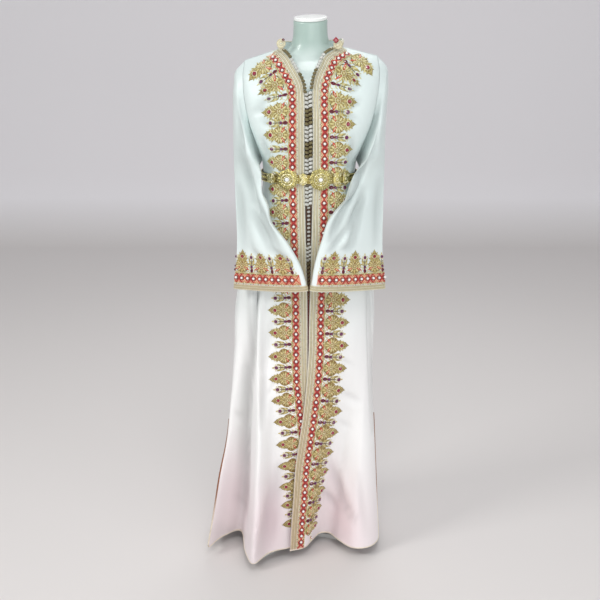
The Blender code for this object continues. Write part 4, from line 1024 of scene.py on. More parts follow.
    def _sleeve_half(self, hand: int, way: int, across: Array) -> Array:
        """Rows of one half of a sleeve, from the armhole's seam to the cuff's edge."""
        level = (1 - np.cos(math.pi * across)) / 2
        seam_rows = self.stations[:self.half_sides + 1][::-1]
        at = np.interp(across, np.linspace(0.0, 1.0, len(seam_rows)), seam_rows)
        seam = read(SIDE_EDGE, at)[:, 0]
        closed, cuff = (near + (far - near) * level for near, far in (CLOSED_DROP, CUFF_DROP))
        rows = []
        for share in np.linspace(0.0, 1.0, 34) ** 1.25:
            swift = share**HEAD_SWIFTNESS
            rows.append((seam + (closed - seam) * share,
                         across * swift / (1 - across * (1 - swift)).clip(1e-6)))
        for share in np.linspace(0.0, 1.0, 48)[1:]:
            rows.append((closed + (cuff - closed) * share, across))
        return np.array([self.sleeve_points(hand, drop, at, way) for drop, at in rows])

    def _sleeve(self, hand: int) -> tuple[Array, Array]:
        """A sleeve: rings from the armhole to the cuff that run over its outer edge, front,
        inner edge and back, and their outward normals."""
        across = np.linspace(1.0, 0.0, self.half_sides + 1)
        front, back = (self._sleeve_half(hand, way, across) for way in (1, -1))
        grid = self.placed(np.concatenate((front[:, :-1], back[:, :0:-1]), axis=1))
        seam = slice(0, self.half_sides + 1)
        front_edge = self.fronts[hand][0][seam, -1]
        back_edge = self.back[0][seam, 0 if hand < 0 else -1]
        grid[0] = np.concatenate((front_edge[:-1], back_edge[:0:-1]))
        grid[0, :, 0] += hand * ARMHOLE_GAP
        normal = grid_normals(grid, around=True)
        turn = 1.0 if ((grid - grid.mean(axis=1, keepdims=True)) * normal).sum() > 0 else -1.0
        rows, sides = grid.shape[:2]
        down = ease(np.arange(rows) / rows, 0.06, 0.2)[:, None]
        for seen, pressed in ((1, SLEEVE_CREASES), (-1, SLEEVE_BACK_CREASES)):
            facing = np.sin(seen * np.arange(sides) / sides * 2 * math.pi).clip(0) ** 0.6
            grid = creased(grid, normal * turn, pressed[hand], down * facing)
        return grid, grid_normals(grid, around=True) * turn


def inward_ways(grid: Array, normal: Array) -> Array:
    """Smoothed inward directions of a sleeve's rings, the first kept in the seam's plane."""
    inward = -normal
    for _ in range(INWARD_PASSES):
        round_it = 2 * inward + np.roll(inward, 1, axis=1) + np.roll(inward, -1, axis=1)
        inward = 2 * round_it
        inward[1:] += round_it[:-1]
        inward[:-1] += round_it[1:]
        inward = unit(inward)
    rim = grid[0].mean(axis=0) - grid[0]
    rim[:, 0] = 0.0
    inward[0] = unit(rim)
    return inward


def walled(sewing: Sewing, outer: Array, inner: Array, tone: Any, places: Array,
           around: bool = False) -> None:
    """Gather a closed thin wall between two matching grids of points.

    Args:
        sewing: takes the wall.
        outer: points as (rows, columns, 3).
        inner: points of the same shape.
        tone: colour that fits one skin.
        places: UV of each point of one skin, in metres.
        around: whether the grid goes around.
    """
    rows, columns = outer.shape[:2]
    size = rows * columns
    faces = [grid_quads(rows, columns, 0, around),
             grid_quads(rows, columns, size, around)[:, ::-1]]
    top = np.arange(columns)
    if around:
        loops = [top, size - 1 - top]
    else:
        loops = [np.concatenate((top, np.arange(1, rows) * columns + columns - 1,
                                 size - 2 - top[:-1], np.arange(rows - 2, 0, -1) * columns))]
    for loop in loops:
        following = np.roll(loop, -1)
        faces.append(np.stack((loop, following, following + size, loop + size), axis=-1))
    sewing.add(np.stack((outer, inner)), faces, tone, places)


# ---------------------------------------------------------------- places on the cloth
@dataclass
class Ribbon:
    """A flattened strip of cloth: rows at even runs along an edge, columns at even
    distances in from it, with the cloth's normals."""

    points: Array
    normals: Array
    step: float = 0.003
    in_from: float = 0.0

    @property
    def total(self) -> float:
        """Run of the last row."""
        return (len(self.points) - 1) * self.step

    def place(self, run: Array, away: Array, lift: Any) -> Array:
        """Points at a run along the edge and a distance in from it, lifted off the cloth.

        The four nearest grid points are mixed by the shares of the cell, which also carry
        a place a little outside the grid straight on.
        """
        rows, columns = self.points.shape[:2]
        run, away, lift = np.broadcast_arrays(run, away, lift)
        run, away = run / self.step, (away - self.in_from) / self.step
        r = np.floor(run).clip(0, rows - 2).astype(int)
        c = np.floor(away).clip(0, columns - 2).astype(int)
        u, v = (run - r)[..., None], (away - c)[..., None]
        spot, normal = ((grid[r, c] * (1 - u) + grid[r + 1, c] * u) * (1 - v)
                        + (grid[r, c + 1] * (1 - u) + grid[r + 1, c + 1] * u) * v
                        for grid in (self.points, self.normals))
        return spot + unit(normal) * lift[..., None]

    def heights(self, run: Any) -> Array:
        """Height of the edge at a run."""
        z = self.points[:, 0, 2]
        return np.interp(run, np.arange(len(z)) * self.step, z)

    def run_at(self, heights: Any, away: float) -> Array:
        """Runs along the edge where the cloth a distance in from it has given heights."""
        z = self.points[:, round(away / self.step), 2]
        return np.interp(-np.asarray(heights), -z, np.arange(len(z)) * self.step)


def front_ribbon(panel: tuple[Array, Array], reach: float = 0.124, step: float = 0.003) -> Ribbon:
    """Flatten a front panel along its front edge.

    Each row of the ribbon is the cut of the cloth by the plane square to the edge there.
    The cut is found on lines that run down the cloth at even distances in: on each, the
    place where (line - edge point) . edge direction changes sign.

    Args:
        panel: grid and normals of the front.
        reach: how far in from the edge the ribbon goes.
        step: spacing of its rows and columns.

    Returns:
        The ribbon.
    """
    grid = panel[0]
    run, rows = lengths(grid, axis=1), len(grid)
    wide, away = np.arange(0.0, reach * 1.7, step), np.arange(0.0, reach, step)
    lines, leans = (np.stack([walk(wide, run[r], part[r]) for r in range(rows)])
                    for part in panel)
    down = lengths(grid[:, 0])
    edge = walk(np.arange(0.0, down[-1], step), down, grid[:, 0])
    way = unit(np.gradient(smoothed(edge, 6, mode="reflect", reflect_type="odd"), axis=0))
    points, normals = [], []
    for spot, tangent in zip(edge, unit(smoothed(way, 14, mode="edge"))):
        beyond = (lines - spot) @ tangent          # (rows, wide)
        after = np.where((beyond > 0).any(axis=0), (beyond > 0).argmax(axis=0), rows - 1)
        after = after.clip(1, rows - 1)
        k = np.arange(len(wide))
        low, high = beyond[after - 1, k], beyond[after, k]
        share = (-low / np.where(np.abs(high - low) < 1e-9, 1e-9, high - low)).clip(0.0, 1.0)
        cut, lean = (part[after - 1, k] * (1 - share)[:, None] + part[after, k] * share[:, None]
                     for part in (lines, leans))
        points.append(walk(away, lengths(cut), cut))
        normals.append(walk(away, lengths(cut), lean))
    return Ribbon(np.array(points), unit(np.array(normals)))


def cuff_ribbon(sleeve: tuple[Array, Array], reach: float = 0.10, step: float = 0.003) -> Ribbon:
    """Flatten the end of a sleeve.

    Runs go round the cuff from its inner edge, over its back, its outer edge and its front;
    distances go up from its rim.
    """
    turned = [np.roll(part, -(part.shape[1] // 2), axis=1)[::-1][:46] for part in sleeve]
    grid, normal = (np.concatenate((part, part[:, :1]), axis=1) for part in turned)
    columns = grid.shape[1]
    away = np.arange(0.0, reach, step)
    up, lean = (np.array([walk(away, lengths(grid[:, c]), part[:, c]) for c in range(columns)])
                for part in (grid, normal))
    round_it = lengths(up[:, int(0.03 / step)])
    wanted = np.arange(0.0, round_it[-1] + step, step)
    index = np.interp(wanted, round_it, np.arange(columns))
    cell = np.floor(index).clip(0, columns - 2).astype(int)
    share = (index - cell)[:, None, None]
    points, normals = (part[cell] * (1 - share) + part[cell + 1] * share for part in (up, lean))
    return Ribbon(points, unit(normals))


# ---------------------------------------------------------------- embroidery
@dataclass(frozen=True)
class Stroke:
    """One satin-stitched or couched stroke of a motif, in millimetres.

    Its line runs through the points; it is `width` wide, or leaf-shaped where it is a leaf.
    Where `twin` is true a mirrored one lies on the other side.
    """

    line: tuple[tuple[float, float], ...]
    width: float
    tone: Tone
    leaf: bool = False
    twin: bool = True
    height: float = 0.9
    lift: float = 0.0
    steps: int = 6


@dataclass(frozen=True)
class Gem:
    """A stone, pearl or bead of a motif, in millimetres."""

    x: float
    y: float
    radius: float
    tone: Tone
    twin: bool = False
    pearl: bool = False
    lift: float = 0.4


@dataclass(frozen=True)
class Motif:
    """A repeated ornament of strokes and gems that grows outward from the band."""

    strokes: Sequence[Stroke]
    gems: Sequence[Gem]


def circle(x: float, y: float, radius: float, start: float = 0.0, end: float = 360.0,
           count: int = 17) -> tuple[tuple[float, float], ...]:
    """Points of an arc, angles in degrees from the outward way."""
    turn = np.radians(np.linspace(start, end, count))
    return tuple(zip(x + radius * np.sin(turn), y + radius * np.cos(turn)))


def ray(angle: float, *radii: float, centre: float = 22.0) -> tuple[tuple[float, float], ...]:
    """Points at radii from a wheel's centre, at an angle in degrees from the outward way."""
    x, y = math.sin(math.radians(angle)), math.cos(math.radians(angle))
    return tuple((radius * x, centre + radius * y) for radius in radii)


def palm() -> Motif:
    """The large motif: a fan of leaves round a wheel, with a pointed leaf and its stone."""
    strokes = [
        Stroke(((0, 0), (0, 23), (0, 47)), 50, Tone.UMBER, True, False, 0.5, steps=10),
        Stroke(((0, 16), (0, 44), (0, 70)), 29, Tone.UMBER, True, False, 0.6, 0.2, 9),
        Stroke(circle(0, 22, 6.4), 1.9, Tone.PALE, False, False, 1.4, 0.6, 16),
        Stroke(circle(0, 22, 12.4, 15, 345), 1.5, Tone.GOLD, False, False, 1.3, 0.5, 17),
        Stroke(((3, 1), (11, 2), (18, 5), (20, 10), (16, 12), (12, 9)), 2.4, Tone.GOLD,
               lift=0.4, steps=9),
        Stroke(((4, 4), (11, 6), (15, 9)), 3.4, Tone.MOSS, True, lift=0.4),
        Stroke(((2, 38), (9, 40), (15, 46)), 4.8, Tone.GOLD, True, lift=0.5),
        Stroke(((2, 41), (11, 46), (10, 54), (0, 67)), 2.0, Tone.GOLD, lift=0.7, steps=9),
        Stroke(circle(0, 51, 6.2, count=13), 2.2, Tone.PALE, False, False, 1.3, 0.8, 14),
        Stroke(((0, 56), (0, 64), (0, 74)), 5.0, Tone.OLIVE, True, False, 1.0, 0.7),
        Stroke(((0, 0), (0, 6), (0, 13)), 5.6, Tone.GOLD, True, False, 1.2, 0.6),
        Stroke(((2, 1), (6, 5), (8, 12)), 4.2, Tone.OLIVE, True, lift=0.5),
        Stroke(((0, 34), (0, 40), (0, 46)), 4.0, Tone.GOLD, True, False, 1.2, 0.8),
    ]
    for y, far, tone in ((44, 17.5, Tone.OLIVE), (52, 14.5, Tone.GOLD), (60, 10.0, Tone.OLIVE)):
        strokes.append(Stroke(((3, y - 6), (0.6 * far, y - 1), (far, y + 4)), 4.4, tone, True,
                              True, 1.1, 0.6, 5))
    for k, tone in enumerate((Tone.OLIVE, Tone.GOLD, Tone.OLIVE, Tone.GOLD, Tone.CORAL,
                              Tone.GOLD)):
        angle = 20 + 26 * k
        strokes.append(Stroke(ray(angle, 7, 14, 22.5 if k % 2 == 0 else 20.0), 6.4, tone, True,
                              True, 1.3, 0.6))
        strokes.append(Stroke(ray(angle, 9, 13, 18), 1.9, Tone.PALE, True, True, 1.2, 1.5, 4))
    for angle in (0, 60, 120, 180):
        strokes.append(Stroke(ray(angle, 0.8, 3, 5.4), 2.6, Tone.GOLD, True,
                              angle not in (0, 180), 1.2, 0.7, 5))
    gems = [Gem(0, 51, 5.2, Tone.MAGENTA, lift=1.0),
            Gem(0, 22, 1.9, Tone.CREAM, lift=1.4, pearl=True)]
    gems += [Gem(x, y, 1.4, tone, True, True, 0.8) for x, y, tone in (
        (21.5, 15.0, Tone.PALE), (21.0, 28.0, Tone.GOLD), (16.5, 37.0, Tone.PALE),
        (13.0, 49.0, Tone.GOLD), (8.0, 58.5, Tone.GOLD), (10.5, 14.5, Tone.CREAM))]
    return Motif(strokes, gems)


def sprig() -> Motif:
    """The small motif: two dark drops at the foot, a stem, and a ringed stone at the tip."""
    strokes = (
        Stroke(((0, 0), (0, 6), (0, 13)), 9.6, Tone.MAGENTA, True, False, 1.3, 0.2, 7),
        Stroke(((0, 12), (0, 16), (0, 21)), 7.4, Tone.BURGUNDY, True, False, 1.3, 0.2),
        Stroke(((2, 1.0), (7.5, 1.6), (10.4, 5), (8.4, 8)), 2.2, Tone.GOLD, steps=8),
        Stroke(((0, 20), (0, 26), (0, 35)), 3.0, Tone.MOSS, False, False, 1.0, 0.2),
        Stroke(((0.4, 24), (5.2, 26.5), (9.6, 32.5)), 5.0, Tone.GOLD, True, lift=0.2),
        Stroke(((0.4, 29), (6.0, 32), (9.2, 41)), 4.8, Tone.OLIVE, True, lift=0.3),
        Stroke(((0.4, 20.0), (4.4, 21.0), (8.0, 25.4)), 3.6, Tone.OLIVE, True, lift=0.3),
        Stroke(circle(0, 42, 6.0, count=13), 2.4, Tone.PALE, False, False, 1.2, 0.3, 14),
        Stroke(((0, 47), (0, 50), (0, 54)), 4.4, Tone.GOLD, True, False, 1.0, 0.2, 5),
        Stroke(((1.4, 12), (6.0, 13.6), (8.4, 18.0)), 3.0, Tone.GOLD, True, lift=0.2),
    )
    gems = (Gem(0, 6.0, 4.3, Tone.BURGUNDY, lift=1.2), Gem(0, 16.4, 3.8, Tone.PURPLE, lift=1.2),
            Gem(0, 42, 4.7, Tone.PURPLE, lift=0.6),
            Gem(7.6, 10.6, 1.3, Tone.PALE, True, True), Gem(8.6, 44, 1.3, Tone.GOLD, True, True))
    return Motif(strokes, gems)


# Rings of a bead as shares of its radius across and up, with its number of sides.
CUT_STONE = ((0.92, 0.0), (1.0, 0.30), (0.62, 0.72)), 8
SMALL_BEAD = ((0.8, 0.0), (1.0, 0.55), (0.55, 1.3)), 6
ROUND_BEAD = ((0.72, 0.0), (1.0, 0.45), (0.86, 0.98), (0.42, 1.38)), 8


@dataclass
class Needle:
    """Lays strokes, cords, beads and stones on a ribbon of cloth."""

    ribbon: Ribbon
    base: float = 0.0     # lifts everything this much more than it says
    lean: float = 0.0     # how far motifs drift along the run for each metre outward

    def lines(self, sewing: Sewing, run: Any, away: Any, width: Any, height: Any, tone: Any,
              lift: float = 0.0) -> None:
        """Gather domed strokes.

        Each cross-section is a five-sided dome of the stroke's width and height, square to
        the stroke in the flat; then every point is placed on the cloth.

        Args:
            sewing: takes the strokes.
            run: run along the edge, as (strokes, points).
            away: distance in from the edge, of the same shape.
            width: full widths, of the same shape.
            height: heights of the domes, of the same shape.
            tone: one colour, or an array that fits (strokes, points, 5, 3).
            lift: distance off the cloth of the underside.
        """
        run, away, width, height = np.broadcast_arrays(run, away, width, height)
        flat = np.stack((run, away), axis=-1)
        way = unit(np.gradient(flat, axis=1))
        side = np.stack((way[..., 1], -way[..., 0]), axis=-1)
        across = np.array((-1.0, -0.62, 0.0, 0.62, 1.0))
        up = np.array((0.0, 0.78, 1.0, 0.78, 0.0))
        spots = flat[..., None, :] + (side * width[..., None] / 2)[..., None, :] * across[:, None]
        places = together(lengths(flat, 1)[..., None], width[..., None] / 2 * across)
        sewing.rings(self.ribbon.place(spots[..., 0], spots[..., 1],
                                       height[..., None] * up + lift + self.base), tone, places)

    def beads(self, sewing: Sewing, run: Any, away: Any, radius: Any, tone: Any,
              lift: float = 0.0, facets: bool = False) -> None:
        """Gather round beads, or low facetted stones, each a stack of rings.

        Args:
            sewing: takes them.
            run: run along the edge of each.
            away: distance in from the edge of each.
            radius: radius of each.
            tone: one colour, or one for each bead.
            lift: distance off the cloth of the underside.
            facets: whether they are cut stones.
        """
        run, away, radius = (part[:, None, None] for part in np.broadcast_arrays(
            np.atleast_1d(run), away, radius))
        small = SMALL_BEAD if radius.max() < 0.002 else ROUND_BEAD
        profile, sides = CUT_STONE if facets else small
        share, up = np.array(profile).T[..., None]
        tone = colours(tone)
        points = self.ribbon.place(run + radius * share * np.sin(turns(sides)),
                                   away + radius * share * np.cos(turns(sides)),
                                   radius * up + lift + self.base)
        sewing.rings(points, tone[:, None, None] if tone.ndim == 2 else tone)

    def stretch(self, run: Array, away: float = 0.070, step: float = 0.010) -> Array:
        """How many metres of cloth a metre of run covers at a distance in from the edge."""
        ends = [self.ribbon.place(run + way * step, away, 0.0) for way in (-1, 1)]
        return np.linalg.norm(ends[1] - ends[0], axis=-1) / (2 * step)

    def motif(self, sewings: Sequence[Sewing], motif: Motif, run: Array, start: Any,
              scale: Any, tint: Any, spread: Any) -> None:
        """Gather a motif at every run, growing inward over the cloth from `start`.

        Args:
            sewings: what takes the strokes, the cut stones and the beads.
            motif: what is repeated.
            run: where its axes stand.
            start: distance from the edge of its foot.
            scale: size of each copy; where the cloth fans, each keeps its shape.
            tint: multiplies the threads' colours.
            spread: widens each copy to its sides.
        """
        threads, stones, pearls = sewings
        scale = scale[:, None] / 1000.0
        wide = np.reshape(spread, (-1, 1)) * scale / self.stretch(run).clip(0.62, 1.5)[:, None]
        run, start = run[:, None], start[:, None]
        for stroke in motif.strokes:
            knots = np.array(stroke.line, float)
            at = lengths(knots)
            share = np.linspace(0.0, 1.0, stroke.steps)
            x, y = read(np.column_stack((at, knots)), share * at[-1]).T
            shape = (np.sin(math.pi * (0.04 + 0.92 * share)) ** 0.8 if stroke.leaf
                     else 0.45 + 0.55 * np.sin(math.pi * (0.1 + 0.8 * share)))
            for hand in ((1, -1) if stroke.twin else (1,)):
                self.lines(threads, run + self.lean * y * scale + hand * x * wide,
                           start + y * scale, stroke.width * shape * scale,
                           stroke.height * shape.clip(0.5) * scale, stroke.tone.colour * tint,
                           stroke.lift * 0.001)
        for gem in motif.gems:
            for hand in ((1, -1) if gem.twin else (1,)):
                self.beads(pearls if gem.pearl else stones,
                           (run + (self.lean * gem.y * scale + hand * gem.x * wide))[:, 0],
                           (start + gem.y * scale)[:, 0], gem.radius * scale[:, 0], gem.tone,
                           gem.lift * 0.001, facets=not gem.pearl)


# ---------------------------------------------------------------- the sub-assemblies
def dressed(sewing: Sewing, name: str, finish: Finish, slot: str, *nodes: str,
            sharp: float = 50.0) -> Object:
    """Make a piece of the part.

    Args:
        sewing: its mesh.
        name: its name.
        finish: what it is made of.
        slot: not used.
        nodes: the CAD nodes that it stands for.
        sharp: edges past this angle, in degrees, aren't smoothed.

    Returns:
        The object.
    """
    piece = sewing.build(name, finish.material(), sharp)
    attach(piece, "root")
    if nodes:
        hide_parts(*nodes)
    LOG.info("%s: %d faces", piece.name, len(piece.data.polygons))
    return piece


def cloth_tone_with_painted_light(points: Array, pressed: Sequence[Crease] = ()) -> Array:
    """Colour of the white cloth with painted light: a painted mint light cast above, the white below it,
    painted pink shade low on the skirt and in its folds, and painted grey shade in the troughs, where
    folded crepe shades itself.

    Each patch of painted pink shade is a soft round patch, exp(-r**2), that is mixed over the white.
    """
    x, z = points[..., 0], points[..., 2]
    # painted mint light, the white cloth, and painted pink shade
    mint, white, painted_pink_shade = (linear(rgb) for rgb in CLOTH_AND_PAINTED_LIGHT_TONES)
    # painted mint light, stronger toward the top
    rise = ease(z, 0.55, 0.55)[..., None]
    # painted pink shade, stronger toward the hem, and in patches in the skirt's folds
    share = 0.34 * (1 - ease(z, 0.0, 0.42))
    for px, pz, wide, tall, strength in PAINTED_PINK_SHADES:
        share = share + strength * np.exp(-((x - px) / wide) ** 2 - ((z - pz) / tall) ** 2)
    share = share.clip(0.0, 1.0)[..., None]
    # painted grey shade in the troughs of the creases
    shade = 1 - TROUGH_SHADE * (1 - np.exp(-sunken(points, pressed).clip(0.0) / TROUGH_DEPTH))
    return mixed(mixed(white, mint, rise), painted_pink_shade, share) * shade[..., None]


def flat_places(grid: Array) -> Array:
    """UV in metres of a grid: run across each row, run down the middle column."""
    return together(lengths(grid, axis=1), lengths(grid[:, grid.shape[1] // 2])[:, None])


@dataclass
class Cloth:
    """The crepe panels and sleeves as thin closed walls, each with its flat UV in metres."""

    draft: Draft
    wall: float = WALL
    sleeve_wall: float = SLEEVE_WALL

    def make(self) -> None:
        """Build every panel."""
        for hand, side in SIDES.items():
            self._panel(f"front_{side}", self.draft.fronts[hand],
                        FRONT_CREASES[hand])
            self._sleeve(side, hand)
        self._panel("back", self.draft.back, BACK_CREASES)

    def _panel(self, name: str, panel: tuple[Array, Array],
               pressed: Sequence[Crease]) -> None:
        """One open panel."""
        grid, normal = panel
        sewing = Sewing()
        walled(sewing, grid, grid - normal * self.wall, cloth_tone_with_painted_light(grid, pressed),
               flat_places(grid))
        piece = dressed(sewing, f"{name}_cloth", CREPE, "ivory_crepe", name)

    def _sleeve(self, side: str, hand: int) -> None:
        """One sleeve, a tube."""
        grid, normal = self.draft.sleeves[hand]
        sewing = Sewing()
        half = grid.shape[1] // 2
        # cloth colour with painted light, and painted shade in the creases of the front and the back
        tone = np.concatenate((cloth_tone_with_painted_light(grid[:, :half], SLEEVE_CREASES[hand]),
                               cloth_tone_with_painted_light(grid[:, half:], SLEEVE_BACK_CREASES[hand])), axis=1)
        walled(sewing, grid, grid + inward_ways(grid, normal) * self.sleeve_wall, tone,
               flat_places(grid), around=True)
        piece = dressed(sewing, f"sleeve_{side}_cloth", CREPE, "ivory_crepe", f"sleeve_{side}")


@dataclass
class Trimming:
    """Braid, trellis band and motifs along one edge of the cloth."""

    ribbon: Ribbon
    name: str
    band_span: tuple[float, float]
    braid_span: tuple[float, float]
    braid: tuple[float, float] = (0.0005, BRAID_WIDTH)                  # from, to
    band: tuple[float, float] = (BRAID_WIDTH + 0.0012, BRAID_WIDTH + BAND_WIDTH)
    cords: int = 5
    period: float = 0.0410    # trellis: from one magenta crossing to the next
    phase: float = 0.0
    tint: tuple[float, float, float] = (1.0, 1.0, 1.0)
    slide: Table = UNMOVED    # height, how far the trims slip to the edge

    def make(self, motifs: Sequence[Array], sizes: Table, lean: float = 0.0) -> None:
        """Build the pieces.

        Args:
            motifs: runs at which large and small motifs stand.
            sizes: height, and size of the motifs there.
            lean: run that each motif drifts for each metre outward.
        """
        needle = Needle(self.ribbon, 0.0002, lean)
        threads, stones, pearls, band, braid = (Sewing() for _ in range(5))
        for motif, spots, grown, spread in (
                (palm(), motifs[0], PALM_SIZE, PALM_SPREAD),
                (sprig(), motifs[1], SPRIG_SIZE, EVEN)):
            # painted warm light: the threads browner low on the skirt
            low = 1 - ease(self.ribbon.heights(spots), 0.50, 0.60)
            tint = self.tint * (1 - low[:, None, None, None] * np.array((0.08, 0.17, 0.22)))
            needle.motif((threads, stones, pearls), motif, spots,
                         self.band[1] + 0.0008 - self._slid(spots),
                         self._at_height(sizes, spots) * grown, tint,
                         self._at_height(spread, spots))
        self._trellis(Needle(self.ribbon, 0.0002), band, threads, pearls)
        self._braid(braid)
        kind, side = self.name.split("_")
        for part, end, finish, slot, nodes, sharp in (
                (braid, "braid", CORD, "champagne_braid", (f"{kind}_braid_{side}",), 50.0),
                (band, "band", BAND, "coral_band", (f"{kind}_band_{side}",), 50.0),
                (threads, "embroidery", THREAD, "coral_band", (), 50.0),
                (pearls, "pearls", PEARL, "coral_band", (), 50.0),
                (stones, "stones", STONE, "coral_band", (), 20.0)):
            dressed(part, f"{self.name}_{end}", finish, slot, *nodes, sharp=sharp)

    def _at_height(self, table: Table, run: Array) -> Array:
        """Read a table of heights and values at the height that the edge has at a run."""
        return np.interp(self.ribbon.heights(run), *np.array(table).T)

    def _slid(self, run: Array) -> Array:
        """How far the trims slip toward the edge at a run."""
        return self._at_height(self.slide, run)

    def _strip(self, sewing: Sewing, span: Sequence[float], edges: Sequence[float],
               share: Array, lifts: tuple[Array, float], tones: Any) -> None:
        """Gather a strip: its cross-section is given by shares and lifts, its colour by a
        function of the height, the run and the share."""
        run = np.linspace(*span, int(round((span[1] - span[0]) / 0.004)) + 1)[:, None]
        low, high = (np.maximum(edge - self._slid(run), least)
                     for edge, least in zip(edges, (0.0005, 0.0040)))
        away = low + (high - low) * share
        outer, inner = (self.ribbon.place(run, away, lift) for lift in lifts)
        walled(sewing, outer, inner, tones(outer[..., 2:], run[..., None], share[:, None]),
               together(run, away))

    def _braid(self, sewing: Sewing) -> None:
        """Parallel half-round cords that touch: |sin| humps across, carried along the run, their colour
        darkened toward the grooves between them as painted shade.
        """
        share = np.linspace(0.0, 1.0, self.cords * 4 + 1)
        hump = np.abs(np.sin(math.pi * self.cords * share)) ** 0.7
        odd = (np.floor(share * self.cords - 1e-6).astype(int) % 2)[:, None]
        # painted shade: each cord darker toward the grooves between the cords
        cord = (mixed(Tone.CHAMPAGNE, Tone.STRAW, odd)
                * (0.46 + 0.54 * hump[:, None] ** 0.6) * self.tint)

        def tones(height: Array, run: Array, share: Array) -> Array:
            """The cords' colours, with painted warm light low on the skirt."""
            low = 1 - ease(height, 0.15, 0.75)
            return cord * (1 - low * np.array((0.05, 0.18, 0.26)))

        self._strip(sewing, self.braid_span, self.braid, share, (0.0006 + 0.0021 * hump, 0.0003),
                    tones)

    def _trellis(self, needle: Needle, band: Sewing, threads: Sewing, pearls: Sewing) -> None:
        """Satin ground, two crossing zigzags, pearls in the diamonds, and edge cords."""
        share = np.linspace(0.0, 1.0, 7)

        def tones(height: Array, run: Array, share: Array) -> Array:
            """Satin that swings from coral to orange, paler high up and in the middle."""
            swing = 0.5 + 0.5 * np.cos(2 * math.pi * (run - self.phase) / self.period)
            pale = 0.20 + 0.42 * ease(height, 1.28, 0.12) + 0.25 * np.sin(math.pi * share)
            return mixed(mixed(Tone.ORANGE, Tone.CORAL, swing), Tone.CREAM, pale) * self.tint

        self._strip(band, self.band_span, self.band, share,
                    (0.0009 + 0.0003 * np.sin(math.pi * share), 0.0004), tones)
        start, end = self.band_span
        half = self.period / 2
        count = np.arange(math.ceil((start - self.phase) / half + 0.05),
                          math.floor((end - self.phase) / half - 0.05) + 1)
        knots = self.phase + half * count
        middle, wide = sum(self.band) / 2, (self.band[1] - self.band[0]) / 2 - 0.0016
        step = np.linspace(0.0, 1.0, 5)
        coral = Tone.CORAL.colour
        for hand in (1, -1):
            for way in (1, -1):
                run = knots[:, None] + way * step * half / 2
                fit = ((run >= start) & (run <= end)).all(axis=1)
                run, near = run[fit], (count[fit] % 2 == 0)[:, None]
                away = middle + hand * wide * step - self._slid(run)
                for shift, width, height, lift, even, odd in (
                        (0.0, 0.0036, STITCH_HEIGHT, 0.0011, (Tone.MAGENTA.colour + coral) / 2, coral),
                        (0.0034, 0.0013, 0.0010, 0.0012, coral, Tone.PALE.colour)):
                    needle.lines(threads, run, away + hand * shift * (1 - step), width, height,
                                 np.where(near, even, odd)[:, None, None] * self.tint, lift)
        spots = (knots + half / 2)[:-1]
        away = middle - self._slid(spots)
        turn = np.radians(np.linspace(0.0, 360.0, 10))
        needle.lines(threads, spots[:, None] + 0.0058 * np.sin(turn),
                     away[:, None] + 0.0050 * np.cos(turn), 0.0015, STITCH_HEIGHT,
                     Tone.BURGUNDY, 0.0013)
        needle.beads(pearls, spots, away, 0.0040, Tone.WHITE, 0.0009)
        side = np.concatenate((knots, knots))
        hands = np.repeat((1.0, -1.0), len(knots)) * (wide - 0.0012)
        needle.beads(pearls, side, middle + hands - self._slid(side), 0.0014, Tone.PALE, 0.0012)
        edge = np.arange(start, end, 0.005)[None]
        for at, width, tone in ((self.band[0] + 0.0005, 0.0016, Tone.PALE),
                                (self.band[1] - 0.0005, 0.0022, Tone.GOLD),
                                (self.band[0] + 0.0018, 0.0013, Tone.OLIVE),
                                (self.band[1] - 0.0022, 0.0013, Tone.MOSS)):
            needle.lines(threads, edge, at - self._slid(edge), width, STITCH_HEIGHT,
                         tone.colour * self.tint, 0.0009)
        dots = np.arange(start + 0.006, end - 0.004, 0.0082)
        three = np.array([tone.colour for tone in (Tone.CORAL, Tone.PALE, Tone.MOSS)])
        needle.beads(pearls, dots, self.band[0] - 0.0012 - self._slid(dots), 0.0012,
                     three[np.arange(len(dots)) % 3], 0.0022)


